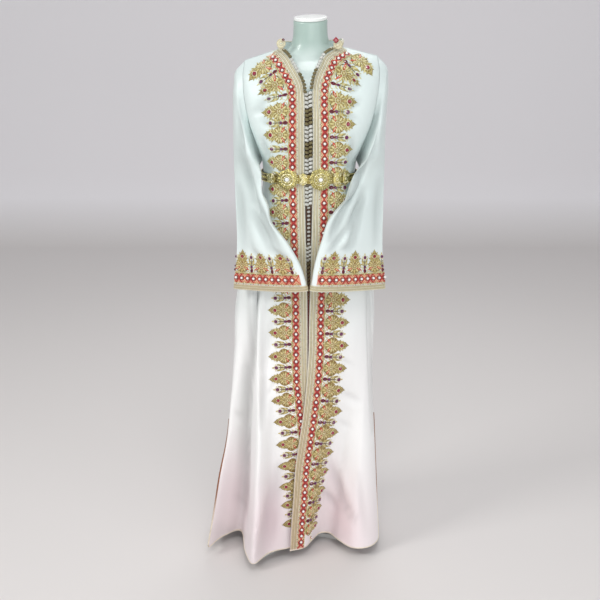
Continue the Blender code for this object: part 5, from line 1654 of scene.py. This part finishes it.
@dataclass
class Fastening:
    """Knot buttons between the fronts, a dark sheet under them for painted shade between the knots and
    in the gap between the fronts, and knots on the V.
    """

    draft: Draft
    ribbons: dict[int, Ribbon]
    pitch: float = 0.0110
    first_z: float = COLLAR_SEAM_Z - 0.116
    last_z: float = 0.800
    gap_shade_z: float = 0.560

    def make(self) -> None:
        """Build the knots and the sheet of painted shade under them."""
        knots, gap_shade_sheet = Sewing(), Sewing()
        z = np.arange(self.first_z, self.last_z, -self.pitch)
        single = (z > SINGLE_KNOTS[0]) & (z < SINGLE_KNOTS[1])
        white = np.where(z > SINGLE_KNOTS[1], np.arange(len(z)) // 4 % 2 == 0,
                         z > SINGLE_KNOTS[0] - 0.040)
        white |= (z < BELT_Z) & (z > SINGLE_KNOTS[1])
        self._row(knots, z, single, white)
        for hand, ribbon in self.ribbons.items():
            run = np.arange(*V_KNOT_RUNS, V_KNOT_PITCH)
            edge, inside = (ribbon.place(run, away, V_KNOT_LIFT) for away in (0.0, 0.004))
            spots = edge + unit(edge - inside) * V_KNOT_OUT
            silver = np.abs(np.arange(len(run)) - V_SILVER_KNOTS[0]) < V_SILVER_KNOTS[1]
            tone = np.where(silver[:, None], Tone.SILVER.colour, Tone.DARK_OLIVE.colour)
            self._knots(knots, spots, (0.0058, 0.0040, 0.0044), hand * 0.5, tone)
        # the sheet of painted shade is paler where it shows between white knots
        light = np.append((white & ~single).astype(float), 0.0)
        z = np.arange(self.first_z, self.gap_shade_z, -self.pitch)
        left, right = (self._edge(hand, z)[:, None] for hand in SIDES)
        share = np.linspace(0.04, 0.96, 9)
        grid = left + (right - left) * share[:, None]
        grid[..., 1] += 0.0012 + 0.0010 * np.sin(math.pi * share)
        low = (1 - ease(z, 0.80, 0.10))[:, None, None]
        light = light[np.arange(len(z)).clip(0, len(light) - 1)][:, None, None]
        # painted shade: dark brown, red-brown low down, paler between white knots
        walled(gap_shade_sheet, grid, grid + np.array((0.0, WALL, 0.0)),
               mixed(mixed(Tone.GAP_SHADE_BROWN, Tone.GAP_SHADE_RED, low), Tone.GAP_SHADE_PALE, light), flat_places(grid))
        dressed(knots, "button_knots_fine", KNOT, "silver_knots", "button_knots", sharp=80.0)
        dressed(gap_shade_sheet, "gap_shade_sheet", BAND, "silver_knots")

    def _row(self, knots: Sewing, z: Array, single: Array, white: Array) -> None:
        """Gather the row between the fronts: pairs of knots, or single ones lower down."""
        left, right = (self._edge(hand, z) for hand in SIDES)
        middle, gap = (left + right) / 2, (right - left)[:, 0].clip(0.006)
        pair = ~single & (np.abs(z - BELT_Z) > 0.018)
        tones = np.where(white[:, None], Tone.SILVER.colour, Tone.DARK_OLIVE.colour)
        for hand in SIDES:
            spots = middle[pair] + (0.0, -0.0026, 0.0018 * hand)
            spots[:, 0] += hand * (gap[pair] * 0.25)
            self._knots(knots, spots, (0.0062, 0.0040, 0.0044), hand * 0.38, tones[pair],
                        (gap[pair] / 0.018).clip(0.35, 1.0))
        spots = middle[single] - (0.0, 0.0016, 0.0)
        self._knots(knots, spots, (0.0046, 0.0034, 0.0034), 0.25,
                    np.broadcast_to(Tone.SILVER.colour * 0.8, spots.shape))

    def _edge(self, hand: int, z: Array) -> Array:
        """Points of a front's edge at heights."""
        edge = self.draft.fronts[hand][0][:, 0]
        return walk(-z, -edge[:, 2], edge)

    @staticmethod
    def _knots(sewing: Sewing, spots: Array, radii: Sequence[float], slant: float,
               tones: Array, size: Any = 1.0) -> None:
        """Gather turned knots: ellipsoids with turns of cord, r * (1 + 0.08 cos 6a)."""
        polar = np.linspace(0.12, math.pi - 0.12, 7)[:, None]
        swell = np.sin(polar) * (1 + 0.08 * np.cos(6 * polar))
        turn = turns(8)
        x = -np.cos(polar) * radii[0]
        z = swell * radii[2] * np.sin(turn)
        cos, sin = math.cos(slant), math.sin(slant)
        ball = together(x * cos - z * sin, swell * radii[1] * np.cos(turn), x * sin + z * cos)
        ball = ball * np.broadcast_to(size, len(spots))[:, None, None, None]
        sewing.rings(spots[:, None, None] + ball, tones[:, None, None],
                     together(x, radii[2] * turn))


def tube(sewing: Sewing, path: Array, radius: Any, tone: Any, sides: int = 8) -> None:
    """Gather a round cord along an open path, its section square to the path.

    The section's first axis is kept close to the last one's, so that the cord isn't wrung.
    """
    along = unit(np.gradient(path, axis=0))
    side = np.cross(along, UP)
    flat = np.linalg.norm(side, axis=1) < 0.3
    side[flat] = np.cross(along[flat], (1.0, 0.0, 0.0))
    turned = np.cumprod(np.where(np.append(1.0, (side[1:] * side[:-1]).sum(axis=1)) < 0, -1, 1))
    side = unit(side * turned[:, None])
    up = np.cross(side, along)
    turn = turns(sides)
    rings = path[:, None] + radius * (np.cos(turn)[:, None] * side[:, None]
                                      + np.sin(turn)[:, None] * up[:, None])
    sewing.rings(rings[None], tone, together(lengths(path)[:, None], radius * turn))


@dataclass
class Piping:
    """Cord sewn round each panel's hem and slit edges."""

    draft: Draft
    radius: float = PIPING / 2 + 0.0008

    def make(self) -> None:
        """Build the three cords."""
        for name, panel, sides in (("piping_left", self.draft.fronts[-1], (-1,)),
                                   ("piping_right", self.draft.fronts[1], (-1,)),
                                   ("piping_back", self.draft.back, (0, -1))):
            path = self._route(*panel, sides)
            for _ in range(3):
                path[1:-1] = (path[:-2] + 2 * path[1:-1] + path[2:]) / 4
            low = 1 - ease(path[:, 2], 0.10, 0.12)[:, None]
            sewing = Sewing()
            tube(sewing, path, self.radius, mixed(Tone.COPPER, Tone.SHELL, low)[:, None])
            dressed(sewing, f"{name}_cord", CORD, "copper_cord", name)

    @staticmethod
    def _route(grid: Array, normal: Array, sides: Sequence[int]) -> Array:
        """Path of a cord just outside a panel: up its opened sides and along its hem."""
        rows, columns = grid.shape[:2]
        route = [(rows - 1, c) for c in reversed(range(columns))]
        if -1 in sides:
            opened = np.where(grid[:, -1, 2] < SLIT_TOP)[0][:-1]
            route = [(r, columns - 1) for r in opened] + route
        if 0 in sides:
            opened = np.where(grid[:, 0, 2] < SLIT_TOP)[0][:-1]
            route += [(r, 0) for r in reversed(opened)]
        r, c = np.array(route).T
        down = unit(grid[r, c] - grid[r - 1, c])
        off = unit(grid[r, c] - grid[r, np.where(c == 0, c + 1, c - 1)])
        reach = PIPING / 2 + TRIM_LIFT
        at_slit = np.isin(c, [side % columns for side in sides])
        at_slit |= (r < rows - 1) & ((c == 0) | (c == columns - 1))
        return (grid[r, c] + down * (reach * (r == rows - 1))[:, None]
                + off * ((reach + SEAM) * at_slit)[:, None] - normal[r, c] * WALL / 2)


@dataclass
class Collar:
    """The stand collar, the braid cords round it, and the loops and stones at its ends."""

    columns: int = 90
    rows: int = 7
    lean: float = COLLAR_LEAN / 2

    def foot(self) -> Array:
        """Points along the neck seam, from the left front round the back to the right."""
        drops = np.array((0.011, 0.008, 0.004))
        ends = read(FRONT_EDGE, drops)
        left, right = (np.column_stack((ends[:, k], ends[:, 2], COLLAR_SEAM_Z - drops))
                       for k in (0, 1))
        middle = Draft.shoulder_line(np.array((0.30, 0.38, 0.44, 0.50, 0.56, 0.62, 0.70)))
        knots = np.concatenate((left, middle, right[::-1]))
        run = lengths(knots)
        return read(np.column_stack((run, knots)), np.linspace(0.0, run[-1], self.columns))

    def make(self) -> None:
        """Build the collar's wall, its cords and its stones."""
        foot = self.foot()
        out = unit((foot - np.array((AXIS_X, 0.010, 0.0))) * (1.0, 1.0, 0.0))
        column = np.arange(self.columns)
        ends = ease(np.minimum(column, self.columns - 1 - column), 0.0, 22.0)
        tall = ((0.30 + 0.44 * ends) * COLLAR_HEIGHT)[:, None]
        share = np.linspace(0.0, 1.0, self.rows)[:, None, None]
        outer = Draft.placed(foot + out * self.lean * share
                             + (COLLAR_FOOT_GAP + tall * share) * UP)
        sewing, cords, stones = Sewing(), Sewing(), Sewing()
        walled(sewing, outer, outer - out * COLLAR_THICK, cloth_tone_with_painted_light(outer), flat_places(outer))
        piece = dressed(sewing, "collar_cloth", CREPE, "ivory_crepe", "collar")
        for level, tone in ((0.12, Tone.CHAMPAGNE), (0.30, Tone.PALE), (0.48, Tone.STRAW),
                            (0.66, Tone.PALE), (0.84, Tone.CHAMPAGNE)):
            line = (foot + out * (self.lean * level + 0.0016)
                    + (COLLAR_FOOT_GAP + tall * level) * UP)
            tube(cords, Draft.placed(line)[2:-2], 0.0016, tone)
        top = foot + out * (self.lean - COLLAR_THICK / 2) + (COLLAR_FOOT_GAP + tall) * UP
        tube(cords, Draft.placed(top), 0.0019, Tone.CHAMPAGNE)
        for at, hand, size, tone, shift in (
                (2, -1, 0.0046, Tone.BURGUNDY, (-0.0060, -0.0060, 0.0180)),
                (-3, 1, 0.0088, Tone.RUBY, (0.0140, -0.0060, 0.0120))):
            centre = outer[self.rows // 2, at] + shift
            self._loops(cords, centre, unit(0.5 * out[at] - (0.0, 1.0, 0.0)))
            seat = centre + np.array((-hand * 0.006, -0.005, 0.009 + 0.2 * size))
            stones.rings((seat + self._gem(size))[None], tone)
        dressed(cords, "collar_cords", CORD, "champagne_braid")
        dressed(stones, "collar_stones", STONE, "coral_band", sharp=20.0)

    @staticmethod
    def _loops(cords: Sewing, centre: Array, facing: Array) -> None:
        """Gather rings of cord round a centre, one inside the other."""
        turn = np.linspace(0.0, 2 * math.pi, 25)[:, None]
        side = np.cross(UP, facing)
        for ring, cord in ((0.0030, Tone.PALE), (0.0060, Tone.STRAW), (0.0090, Tone.PALE),
                           (0.0118, Tone.STRAW)):
            tube(cords, centre + ring * (np.cos(turn) * side + np.sin(turn) * UP), 0.0012, cord)

    @staticmethod
    def _gem(radius: float) -> Array:
        """Rings of a four-sided cut stone that faces the front."""
        share = radius * np.array((0.5, 1.0, 1.0, 0.55))[:, None]
        depth = np.array((0.0015, 0.0005, -0.0010, -0.0026))[:, None]
        return together(share * np.sin(turns(4)), depth, share * np.cos(turns(4)))


@dataclass
class Belt:
    """The metal belt: a band round the waist, filigree plates, a clasp and two rosettes."""

    draft: Draft
    height: float = BELT_HEIGHT
    lift: float = BELT_LIFT
    beads_pitch: float = 0.0036
    step: float = 0.002

    def __post_init__(self) -> None:
        """Trace the waist and flatten a ribbon along it."""
        drop = COLLAR_SEAM_Z - BELT_Z
        share = np.linspace(0.0, 1.0, 161)
        loop = np.concatenate((self.draft.front_row(drop, -1, share),
                               self.draft.back_row(drop, share)[1:-1],
                               self.draft.front_row(drop, 1, share)[::-1]))
        loop = np.concatenate((loop, loop[:1]))
        run = lengths(loop)
        line = walk(np.arange(0.0, run[-1], self.step), run, loop)[:, :2]
        for _ in range(60):
            line = (np.roll(line, 1, axis=0) + 2 * line + np.roll(line, -1, axis=0)) / 4
        way = unit(np.roll(line, -3, axis=0) - np.roll(line, 3, axis=0))
        out = together(way[:, 1], -way[:, 0], 0.0)
        if (out[:, :2] * (line - line.mean(axis=0))).sum() < 0:
            out = -out
        self.line = together(*line.T, BELT_Z) - (0.0, POLE_Y, 0.0) + out * self.lift
        points = self.line[:, None] + np.arange(-0.030, 0.0301, self.step)[:, None] * UP
        normals = np.broadcast_to(out[:, None], points.shape)
        self.ribbon = Ribbon(*(np.concatenate((grid, grid[:2])) for grid in (points, normals)),
                             self.step, -0.030)
        self.length = len(line) * self.step

    def at(self, x: float) -> float:
        """Run along the belt of the front point at x."""
        front = np.where(self.line[:, 1] < -0.02 - POLE_Y)[0]
        return float(front[np.argmin(np.abs(self.line[front, 0] - x))] * self.step)

    def make(self) -> None:
        """Build the band, the plates, the rosettes and the crystals."""
        needle = Needle(self.ribbon)
        self._band(needle)
        crystals = Sewing()
        for name, x, width, height in PLATES:
            sewing = Sewing()
            self._plate(needle, sewing, self.at(x), width, height)
            dressed(sewing, f"belt_{name}_filigree", FILIGREE, "filigree_gold", f"belt_{name}",
                    sharp=40.0)
        for name, x, radius in ROSETTES:
            sewing = Sewing()
            self._rosette(needle, sewing, crystals, self.at(x), radius)
            dressed(sewing, f"rosette_{name}_filigree", FILIGREE, "filigree_gold",
                    f"rosette_{name}", sharp=40.0)
        dressed(crystals, "rosette_crystals", CRYSTAL, "crystal", "rosette_stone_left",
                "rosette_stone_right", sharp=20.0)

    def _band(self, needle: Needle) -> None:
        """The band: a rolled strip with scrolls, edge cords and a row of grains."""
        sewing = Sewing()
        run = np.linspace(0.0, self.length, 240)[:-1]
        up = np.linspace(-self.height / 2, self.height / 2, 9)[:, None]
        outer, inner = (self.ribbon.place(run, up, lift)[::-1] for lift in (BELT_THICK, 0.0))
        walled(sewing, outer, inner, Tone.MOSS.colour, together(run, up), around=True)
        grains = np.arange(0.0, self.length, self.beads_pitch)
        for level in (-1, 1):
            needle.beads(sewing, grains, level * (self.height / 2 - 0.0016), 0.0013,
                         Tone.GOLD, BELT_THICK)
        turn = np.radians(np.linspace(-120, 200, 11))
        hubs = np.arange(0.006, self.length - 0.006, 0.0118)
        flip = np.where(np.arange(len(hubs)) % 2 == 0, 1.0, -1.0)[:, None]
        size = 0.0044 - 0.0016 * (np.arange(11) / 10)
        needle.lines(sewing, hubs[:, None] + size * np.sin(turn), flip * size * np.cos(turn),
                     0.0013, STITCH_HEIGHT, Tone.GOLD, BELT_THICK)
        dressed(sewing, "belt_band_filigree", FILIGREE, "filigree_gold", "belt_band", sharp=40.0)

    def _plate(self, needle: Needle, sewing: Sewing, middle: float, width: float,
               height: float) -> None:
        """A plate: a cushioned lobed sheet under coils of wire and grains."""
        self._dome(sewing, middle, width / 2, height / 2, 0.0022, 0.06, 6, 0.0004)
        turn = np.radians(np.linspace(0, 500, 22))
        size = np.linspace(1.0, 0.25, 22) * min(width, height) * 0.21
        for across, up in ((-0.25, -0.27), (0.25, -0.27), (-0.25, 0.27), (0.25, 0.27), (0, 0)):
            hand = 1.0 if across * up >= 0 else -1.0
            line = (middle + across * width + hand * size * np.sin(turn))[None]
            needle.lines(sewing, line, (up * height + size * np.cos(turn))[None],
                         0.0017, 0.0014, Tone.PALE, BELT_THICK + 0.0032)
        rim = turns(28)
        needle.beads(sewing, middle + 0.46 * width * np.sin(rim), 0.46 * height * np.cos(rim),
                     0.0015, Tone.GOLD, BELT_THICK + 0.0010)

    def _rosette(self, needle: Needle, sewing: Sewing, crystals: Sewing, middle: float,
                 radius: float) -> None:
        """A rosette: a lobed dome under two rings of petals, wire rings, grains, a crystal."""
        self._dome(sewing, middle, radius, radius, 0.0052, 0.05, 8, 0.0030)
        for count, inner, outer, wide, lift in ((15, 0.50, 0.98, 0.0074, 0.0036),
                                                (15, 0.62, 0.90, 0.0024, 0.0054),
                                                (9, 0.24, 0.60, 0.0074, 0.0058)):
            angle = turns(count, 0.5)[:, None]
            share = np.linspace(inner, outer, 7) * radius
            shape = np.sin(math.pi * np.linspace(0.08, 0.92, 7))
            needle.lines(sewing, middle + share * np.sin(angle), share * np.cos(angle),
                         wide * shape, 0.0016 * shape.clip(0.4),
                         Tone.GOLD if wide < 0.005 else Tone.OLIVE, BELT_THICK + lift)
        ring = np.radians(np.linspace(0, 360, 33))
        for share, lift in ((0.56, 0.0070), (0.30, 0.0078)):
            line = (middle + share * radius * np.sin(ring))[None]
            needle.lines(sewing, line, (share * radius * np.cos(ring))[None],
                         0.0018, 0.0015, Tone.PALE, BELT_THICK + lift)
        for count, share, lift in ((30, 0.99, 0.0018), (15, 0.80, 0.0052), (9, 0.44, 0.0078)):
            angle = turns(count)
            needle.beads(sewing, middle + share * radius * np.sin(angle),
                         share * radius * np.cos(angle), 0.0014, Tone.PALE, BELT_THICK + lift)
        needle.beads(crystals, middle, 0.0, 0.0058, Tone.WHITE,
                     BELT_THICK + 0.0074, facets=True)

    def _dome(self, sewing: Sewing, middle: float, wide: float, tall: float, rise: float,
              lobe: float, lobes: int, relief: float) -> None:
        """Gather a lobed dome: height rise * (1 - r**2)**0.6, rim 1 + lobe * cos(lobes * a)."""
        share = np.array((0.0, 0.12, 0.25, 0.4, 0.55, 0.7, 0.82, 0.92, 1.0, 1.0))
        angle = turns(64)
        rim = 1 + lobe * np.cos(lobes * angle)
        share = share.clip(0.02)[::-1, None]
        run = middle + wide * share * rim * np.sin(angle)
        up = tall * share * rim * np.cos(angle)
        lift = BELT_THICK + 0.0015 + rise * (1 - share**2).clip(0) ** 0.6
        lift[0] -= 0.0009
        waves = relief * 0.12 * np.sin(2 * lobes * angle) * share * (1 - share) * 4
        sewing.rings(self.ribbon.place(run, up, lift + waves)[None], Tone.OLIVE)


@dataclass
class DressForm:
    """The glossy limbless form, its slanted cap, and the stand that it is on."""

    sides: int = 96
    rows: int = 190

    def make(self) -> None:
        """Build the form, the cap, the pole and the foot."""
        turn = turns(self.sides, 0.5)
        heights = np.linspace(FORM[0][0], FORM[-1][0], self.rows)
        half, front, back, square = read(FORM, heights).T[..., None]
        sine, cosine = np.sin(turn), np.cos(turn)
        across = np.sign(sine) * np.abs(sine) ** (2 / square)
        along = np.abs(cosine) ** (2 / square) * np.where(cosine > 0, front, back)
        body = together(AXIS_X + half * across, along, heights[:, None])
        body = Draft.placed(self._closed(self._slanted(body), 0.0015))
        sewing, disc = Sewing(), Sewing()
        sewing.rings(body[None], self._form_tone_with_painted_light(body)[None])
        dressed(sewing, "form_body", GLOSS, "gloss_form", "form_torso")
        middle = (FORM[-1][2] + FORM[-1][3]) / 2
        low = FORM[-1][0] + 0.0004
        profile = ((0.97, 0.0), (1.0, 0.0010), (1.0, 0.0066), (0.975, 0.0078), (0.90, 0.0080))
        share, rise = np.array(profile).T[..., None]
        cap = together(AXIS_X + CAP_RADIUS * share * sine, middle + CAP_RADIUS * share * cosine,
                       low + rise)
        disc.rings(Draft.placed(self._slanted(cap))[None], Tone.WHITE)
        dressed(disc, "form_cap_disc", CAP, "white_cap", "form_cap")
        self._stand()

    @staticmethod
    def _slanted(points: Array) -> Array:
        """Tip the top of the neck toward the front."""
        tipped = points.copy()
        tipped[..., 2] += NECK_SLANT * points[..., 1] * ease(points[..., 2], 1.530, 0.032)
        return tipped

    @staticmethod
    def _closed(body: Array, edge: float) -> Array:
        """A body whose first and last rings are rounded over by a small edge."""
        ends = []
        for ring, way in ((body[0], 1.0), (body[-1], -1.0)):
            inside = ring + (ring.mean(axis=0) - ring) * 0.03
            moved = ring.copy()
            moved[:, 2] += way * edge
            ends.append((inside, moved))
        return np.concatenate((ends[0][0][None], ends[0][1][None], body[1:-1],
                               ends[1][1][None], ends[1][0][None]))

    @staticmethod
    def _form_tone_with_painted_light(points: Array) -> Array:
        """Painted mint light over the white form, lit paler on the chest, with painted grey-green shade
        on the neck.
        """
        rise = ease(points[..., 2], 1.44, 0.07)[..., None]
        return mixed(Tone.FORM_PAINTED_MINT_LIGHT, Tone.SAGE, rise)

    def _stand(self) -> None:
        """Pole with a collar at each end, and the foot with its edges rounded."""
        turn = turns(32)
        top = FORM[0][0] - SEAM
        profile = ((1.0, FOOT_THICK + SEAM), (1.7, FOOT_THICK + SEAM + 0.001),
                   (1.7, FOOT_THICK + 0.022), (1.45, FOOT_THICK + 0.026), (1.0, FOOT_THICK + 0.027),
                   (1.0, top - 0.060), (1.35, top - 0.058), (1.35, top - 0.004), (1.0, top - 0.001))
        share, z = np.array(profile).T[..., None]
        reach = POLE_RADIUS * share
        pole, foot = Sewing(), Sewing()
        pole.rings(together(reach * np.cos(turn), reach * np.sin(turn), z)[None], Tone.SILVER)
        dressed(pole, "stand_pole_turned", STEEL, "stand_metal", "stand_pole", sharp=30.0)
        angles = np.array([math.atan2(y, x) for x, y in FEET])
        sizes = np.array([math.hypot(x, y) + FOOT_WIDTH / 2 for x, y in FEET])
        fine = np.linspace(-math.pi, math.pi, 361)[:-1]
        away = np.abs((fine[:, None] - angles + math.pi) % (2 * math.pi) - math.pi)
        reach = np.where(away < math.pi / 2,
                         FOOT_WIDTH / 2 / np.sin(away).clip(1e-3), HUB_RADIUS)
        reach = np.minimum(reach, sizes).max(axis=1).clip(HUB_RADIUS)
        levels = ((0.985, 0.0), (1.0, 0.0015), (1.0, FOOT_THICK - 0.0025),
                  (0.99, FOOT_THICK - 0.0008), (0.97, FOOT_THICK))
        share, z = np.array(levels).T[..., None]
        reach = reach * share
        foot.rings(together(reach * np.cos(fine), reach * np.sin(fine), z)[None], Tone.SILVER)
        dressed(foot, "stand_foot_cast", STEEL, "stand_metal", "stand_foot", sharp=30.0)


# ---------------------------------------------------------------- studio
@dataclass
class Studio:
    """Pale floor and backdrop, soft light, and the camera."""

    spot: tuple[float, float, float] = (-0.0245, -2.87, 1.53)
    down: float = 15.0
    lens: float = 60.0

    def make(self) -> None:
        """Build the backdrop, the lights and the camera."""
        self._backdrop()
        for light in LIGHTS:
            self._light(*light)
        world = bpy.data.worlds.new("studio_air")
        world.use_nodes = True
        air = world.node_tree.nodes["Background"]
        air.inputs[0].default_value = (*WORLD_COLOUR, 1.0)
        air.inputs[1].default_value = WORLD_STRENGTH
        bpy.context.scene.world = world
        camera = bpy.data.cameras.new("camera")
        camera.lens, camera.sensor_width = self.lens, 36.0
        holder = standing("camera", camera)
        holder.location = self.spot
        holder.rotation_euler = (math.radians(90.0 - self.down), 0.0, 0.0)
        bpy.context.scene.camera = holder
        bpy.context.scene.view_settings.view_transform = "Standard"

    @staticmethod
    def _light(name: str, place: Sequence[float], aim: Sequence[float], size: float,
               power: float, colour: Sequence[float]) -> None:
        """A square soft light at a place, turned to its aim."""
        lamp = bpy.data.lights.new(name, "AREA")
        lamp.shape, lamp.size, lamp.energy, lamp.color = "SQUARE", size, power, colour
        holder = standing(name, lamp)
        holder.location = place
        way = np.asarray(aim, float) - np.asarray(place, float)
        pitch = math.atan2(math.hypot(way[0], way[1]), -way[2])
        holder.rotation_euler = (pitch, 0.0, math.atan2(-way[0], way[1]))

    @staticmethod
    def _backdrop() -> None:
        """Floor that curves up into a wall: a quarter circle between two straight runs."""
        turn = np.linspace(0.0, math.pi / 2, 25)
        near, far, half, top, bend = -12.0, 4.8, 16.0, 5.0, 0.50
        y = np.concatenate(([near], far - bend + bend * np.sin(turn), [far]))
        z = np.concatenate(([0.0], bend - bend * np.cos(turn), [top]))
        grid = together((-half, half), y[:, None], z[:, None])
        mesh = bpy.data.meshes.new("backdrop")
        mesh.from_pydata(grid.reshape(-1, 3), [], grid_quads(len(y), 2)[:, ::-1].tolist())
        mesh.shade_smooth()
        drop = standing("backdrop", mesh)
        paint = bpy.data.materials.new("pale_backdrop")
        paint.use_nodes = True
        tree = paint.node_tree
        shader = tree.nodes["Principled BSDF"]
        shader.inputs["Roughness"].default_value = 0.75
        place = node(tree, "TexCoord").outputs["Object"]
        height = node(tree, "SeparateXYZ", {0: place}).outputs[2]
        rise = node(tree, "MapRange", {0: height, 1: 0.0, 2: 0.30}).outputs[0]
        paper = node(tree, "Mix", {0: rise, 6: (*linear(FLOOR_TONE), 1.0),
                                   7: (*linear(WALL_TONE), 1.0)}, data_type="RGBA")
        tree.links.new(paper.outputs[2], shader.inputs["Base Color"])
        mesh.materials.append(paint)


def front_motifs(ribbon: Ribbon, heights: Sequence[float]) -> tuple[Array, Array]:
    """Runs of a front's large motifs, and of the small ones midway between.

    They stand at the given heights and, above those, at an even pitch along their tips.
    """
    known = ribbon.run_at(np.array(heights), MOTIF_MIDDLE)
    run = np.arange(FIRST_MOTIF_RUN, known[0], 0.002)
    tips = lengths(ribbon.place(run, TIP_LINE, 0.0))
    wanted = tips[-1] - TIP_PITCH * np.arange(int(tips[-1] / TIP_PITCH), 0, -1)
    big = np.concatenate((np.interp(wanted, tips, run), known))
    return big, (big[1:] + big[:-1]) / 2


def cuff_motifs(ribbon: Ribbon, places: Sequence[float]) -> tuple[Array, Array]:
    """Runs of a cuff's large motifs, and of the small ones midway between.

    They stand at the given x on the front and go on round the back at an even pitch.
    """
    half = len(ribbon.points) // 2
    x = ribbon.points[half:, int(MOTIF_MIDDLE / ribbon.step), 0]
    run = (half + np.arange(len(x))) * ribbon.step
    order = np.argsort(x)
    front = np.sort(np.interp(places, x[order], run[order]))
    count = int((front[0] - CUFF_CLEAR[0]) / CUFF_MOTIF_PITCH)
    back = front[0] - CUFF_MOTIF_PITCH * np.arange(count, 0, -1)
    big = np.concatenate((back, front))
    small = np.append((big[1:] + big[:-1]) / 2, big[-1] + CUFF_MOTIF_PITCH / 2)
    return big, small[small < ribbon.total - CUFF_CLEAR[1]]


def main() -> None:
    """Load the frame and build every sub-assembly."""
    logging.basicConfig(level=logging.INFO, format="%(name)s %(message)s")
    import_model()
    draft = Draft()
    DressForm().make()
    Cloth(draft).make()
    Collar().make()
    ribbons = {}
    for hand, side in SIDES.items():
        ribbon = ribbons[hand] = front_ribbon(draft.fronts[hand])
        look = FRONT_LOOKS[hand]
        Trimming(ribbon, f"front_{side}", (BAND_START, ribbon.total),
                 (BRAID_START, ribbon.total), phase=look["phase"], slide=look["slide"]).make(
                     front_motifs(ribbon, look["motifs"]), look["sizes"], look["lean"])
        ribbon = cuff_ribbon(draft.sleeves[hand])
        spans = [(end, ribbon.total - end) for end in (CUFF_BAND_END, CUFF_BRAID_END)]
        Trimming(ribbon, f"cuff_{side}", *spans, CUFF_BRAID, CUFF_BAND,
                 tint=CUFF_TINTS[hand]).make(cuff_motifs(ribbon, CUFF_MOTIFS[hand]), CUFF_SIZES)
    Fastening(draft, ribbons).make()
    Piping(draft).make()
    Belt(draft).make()
    Studio().make()


if __name__ == "__main__":
    main()
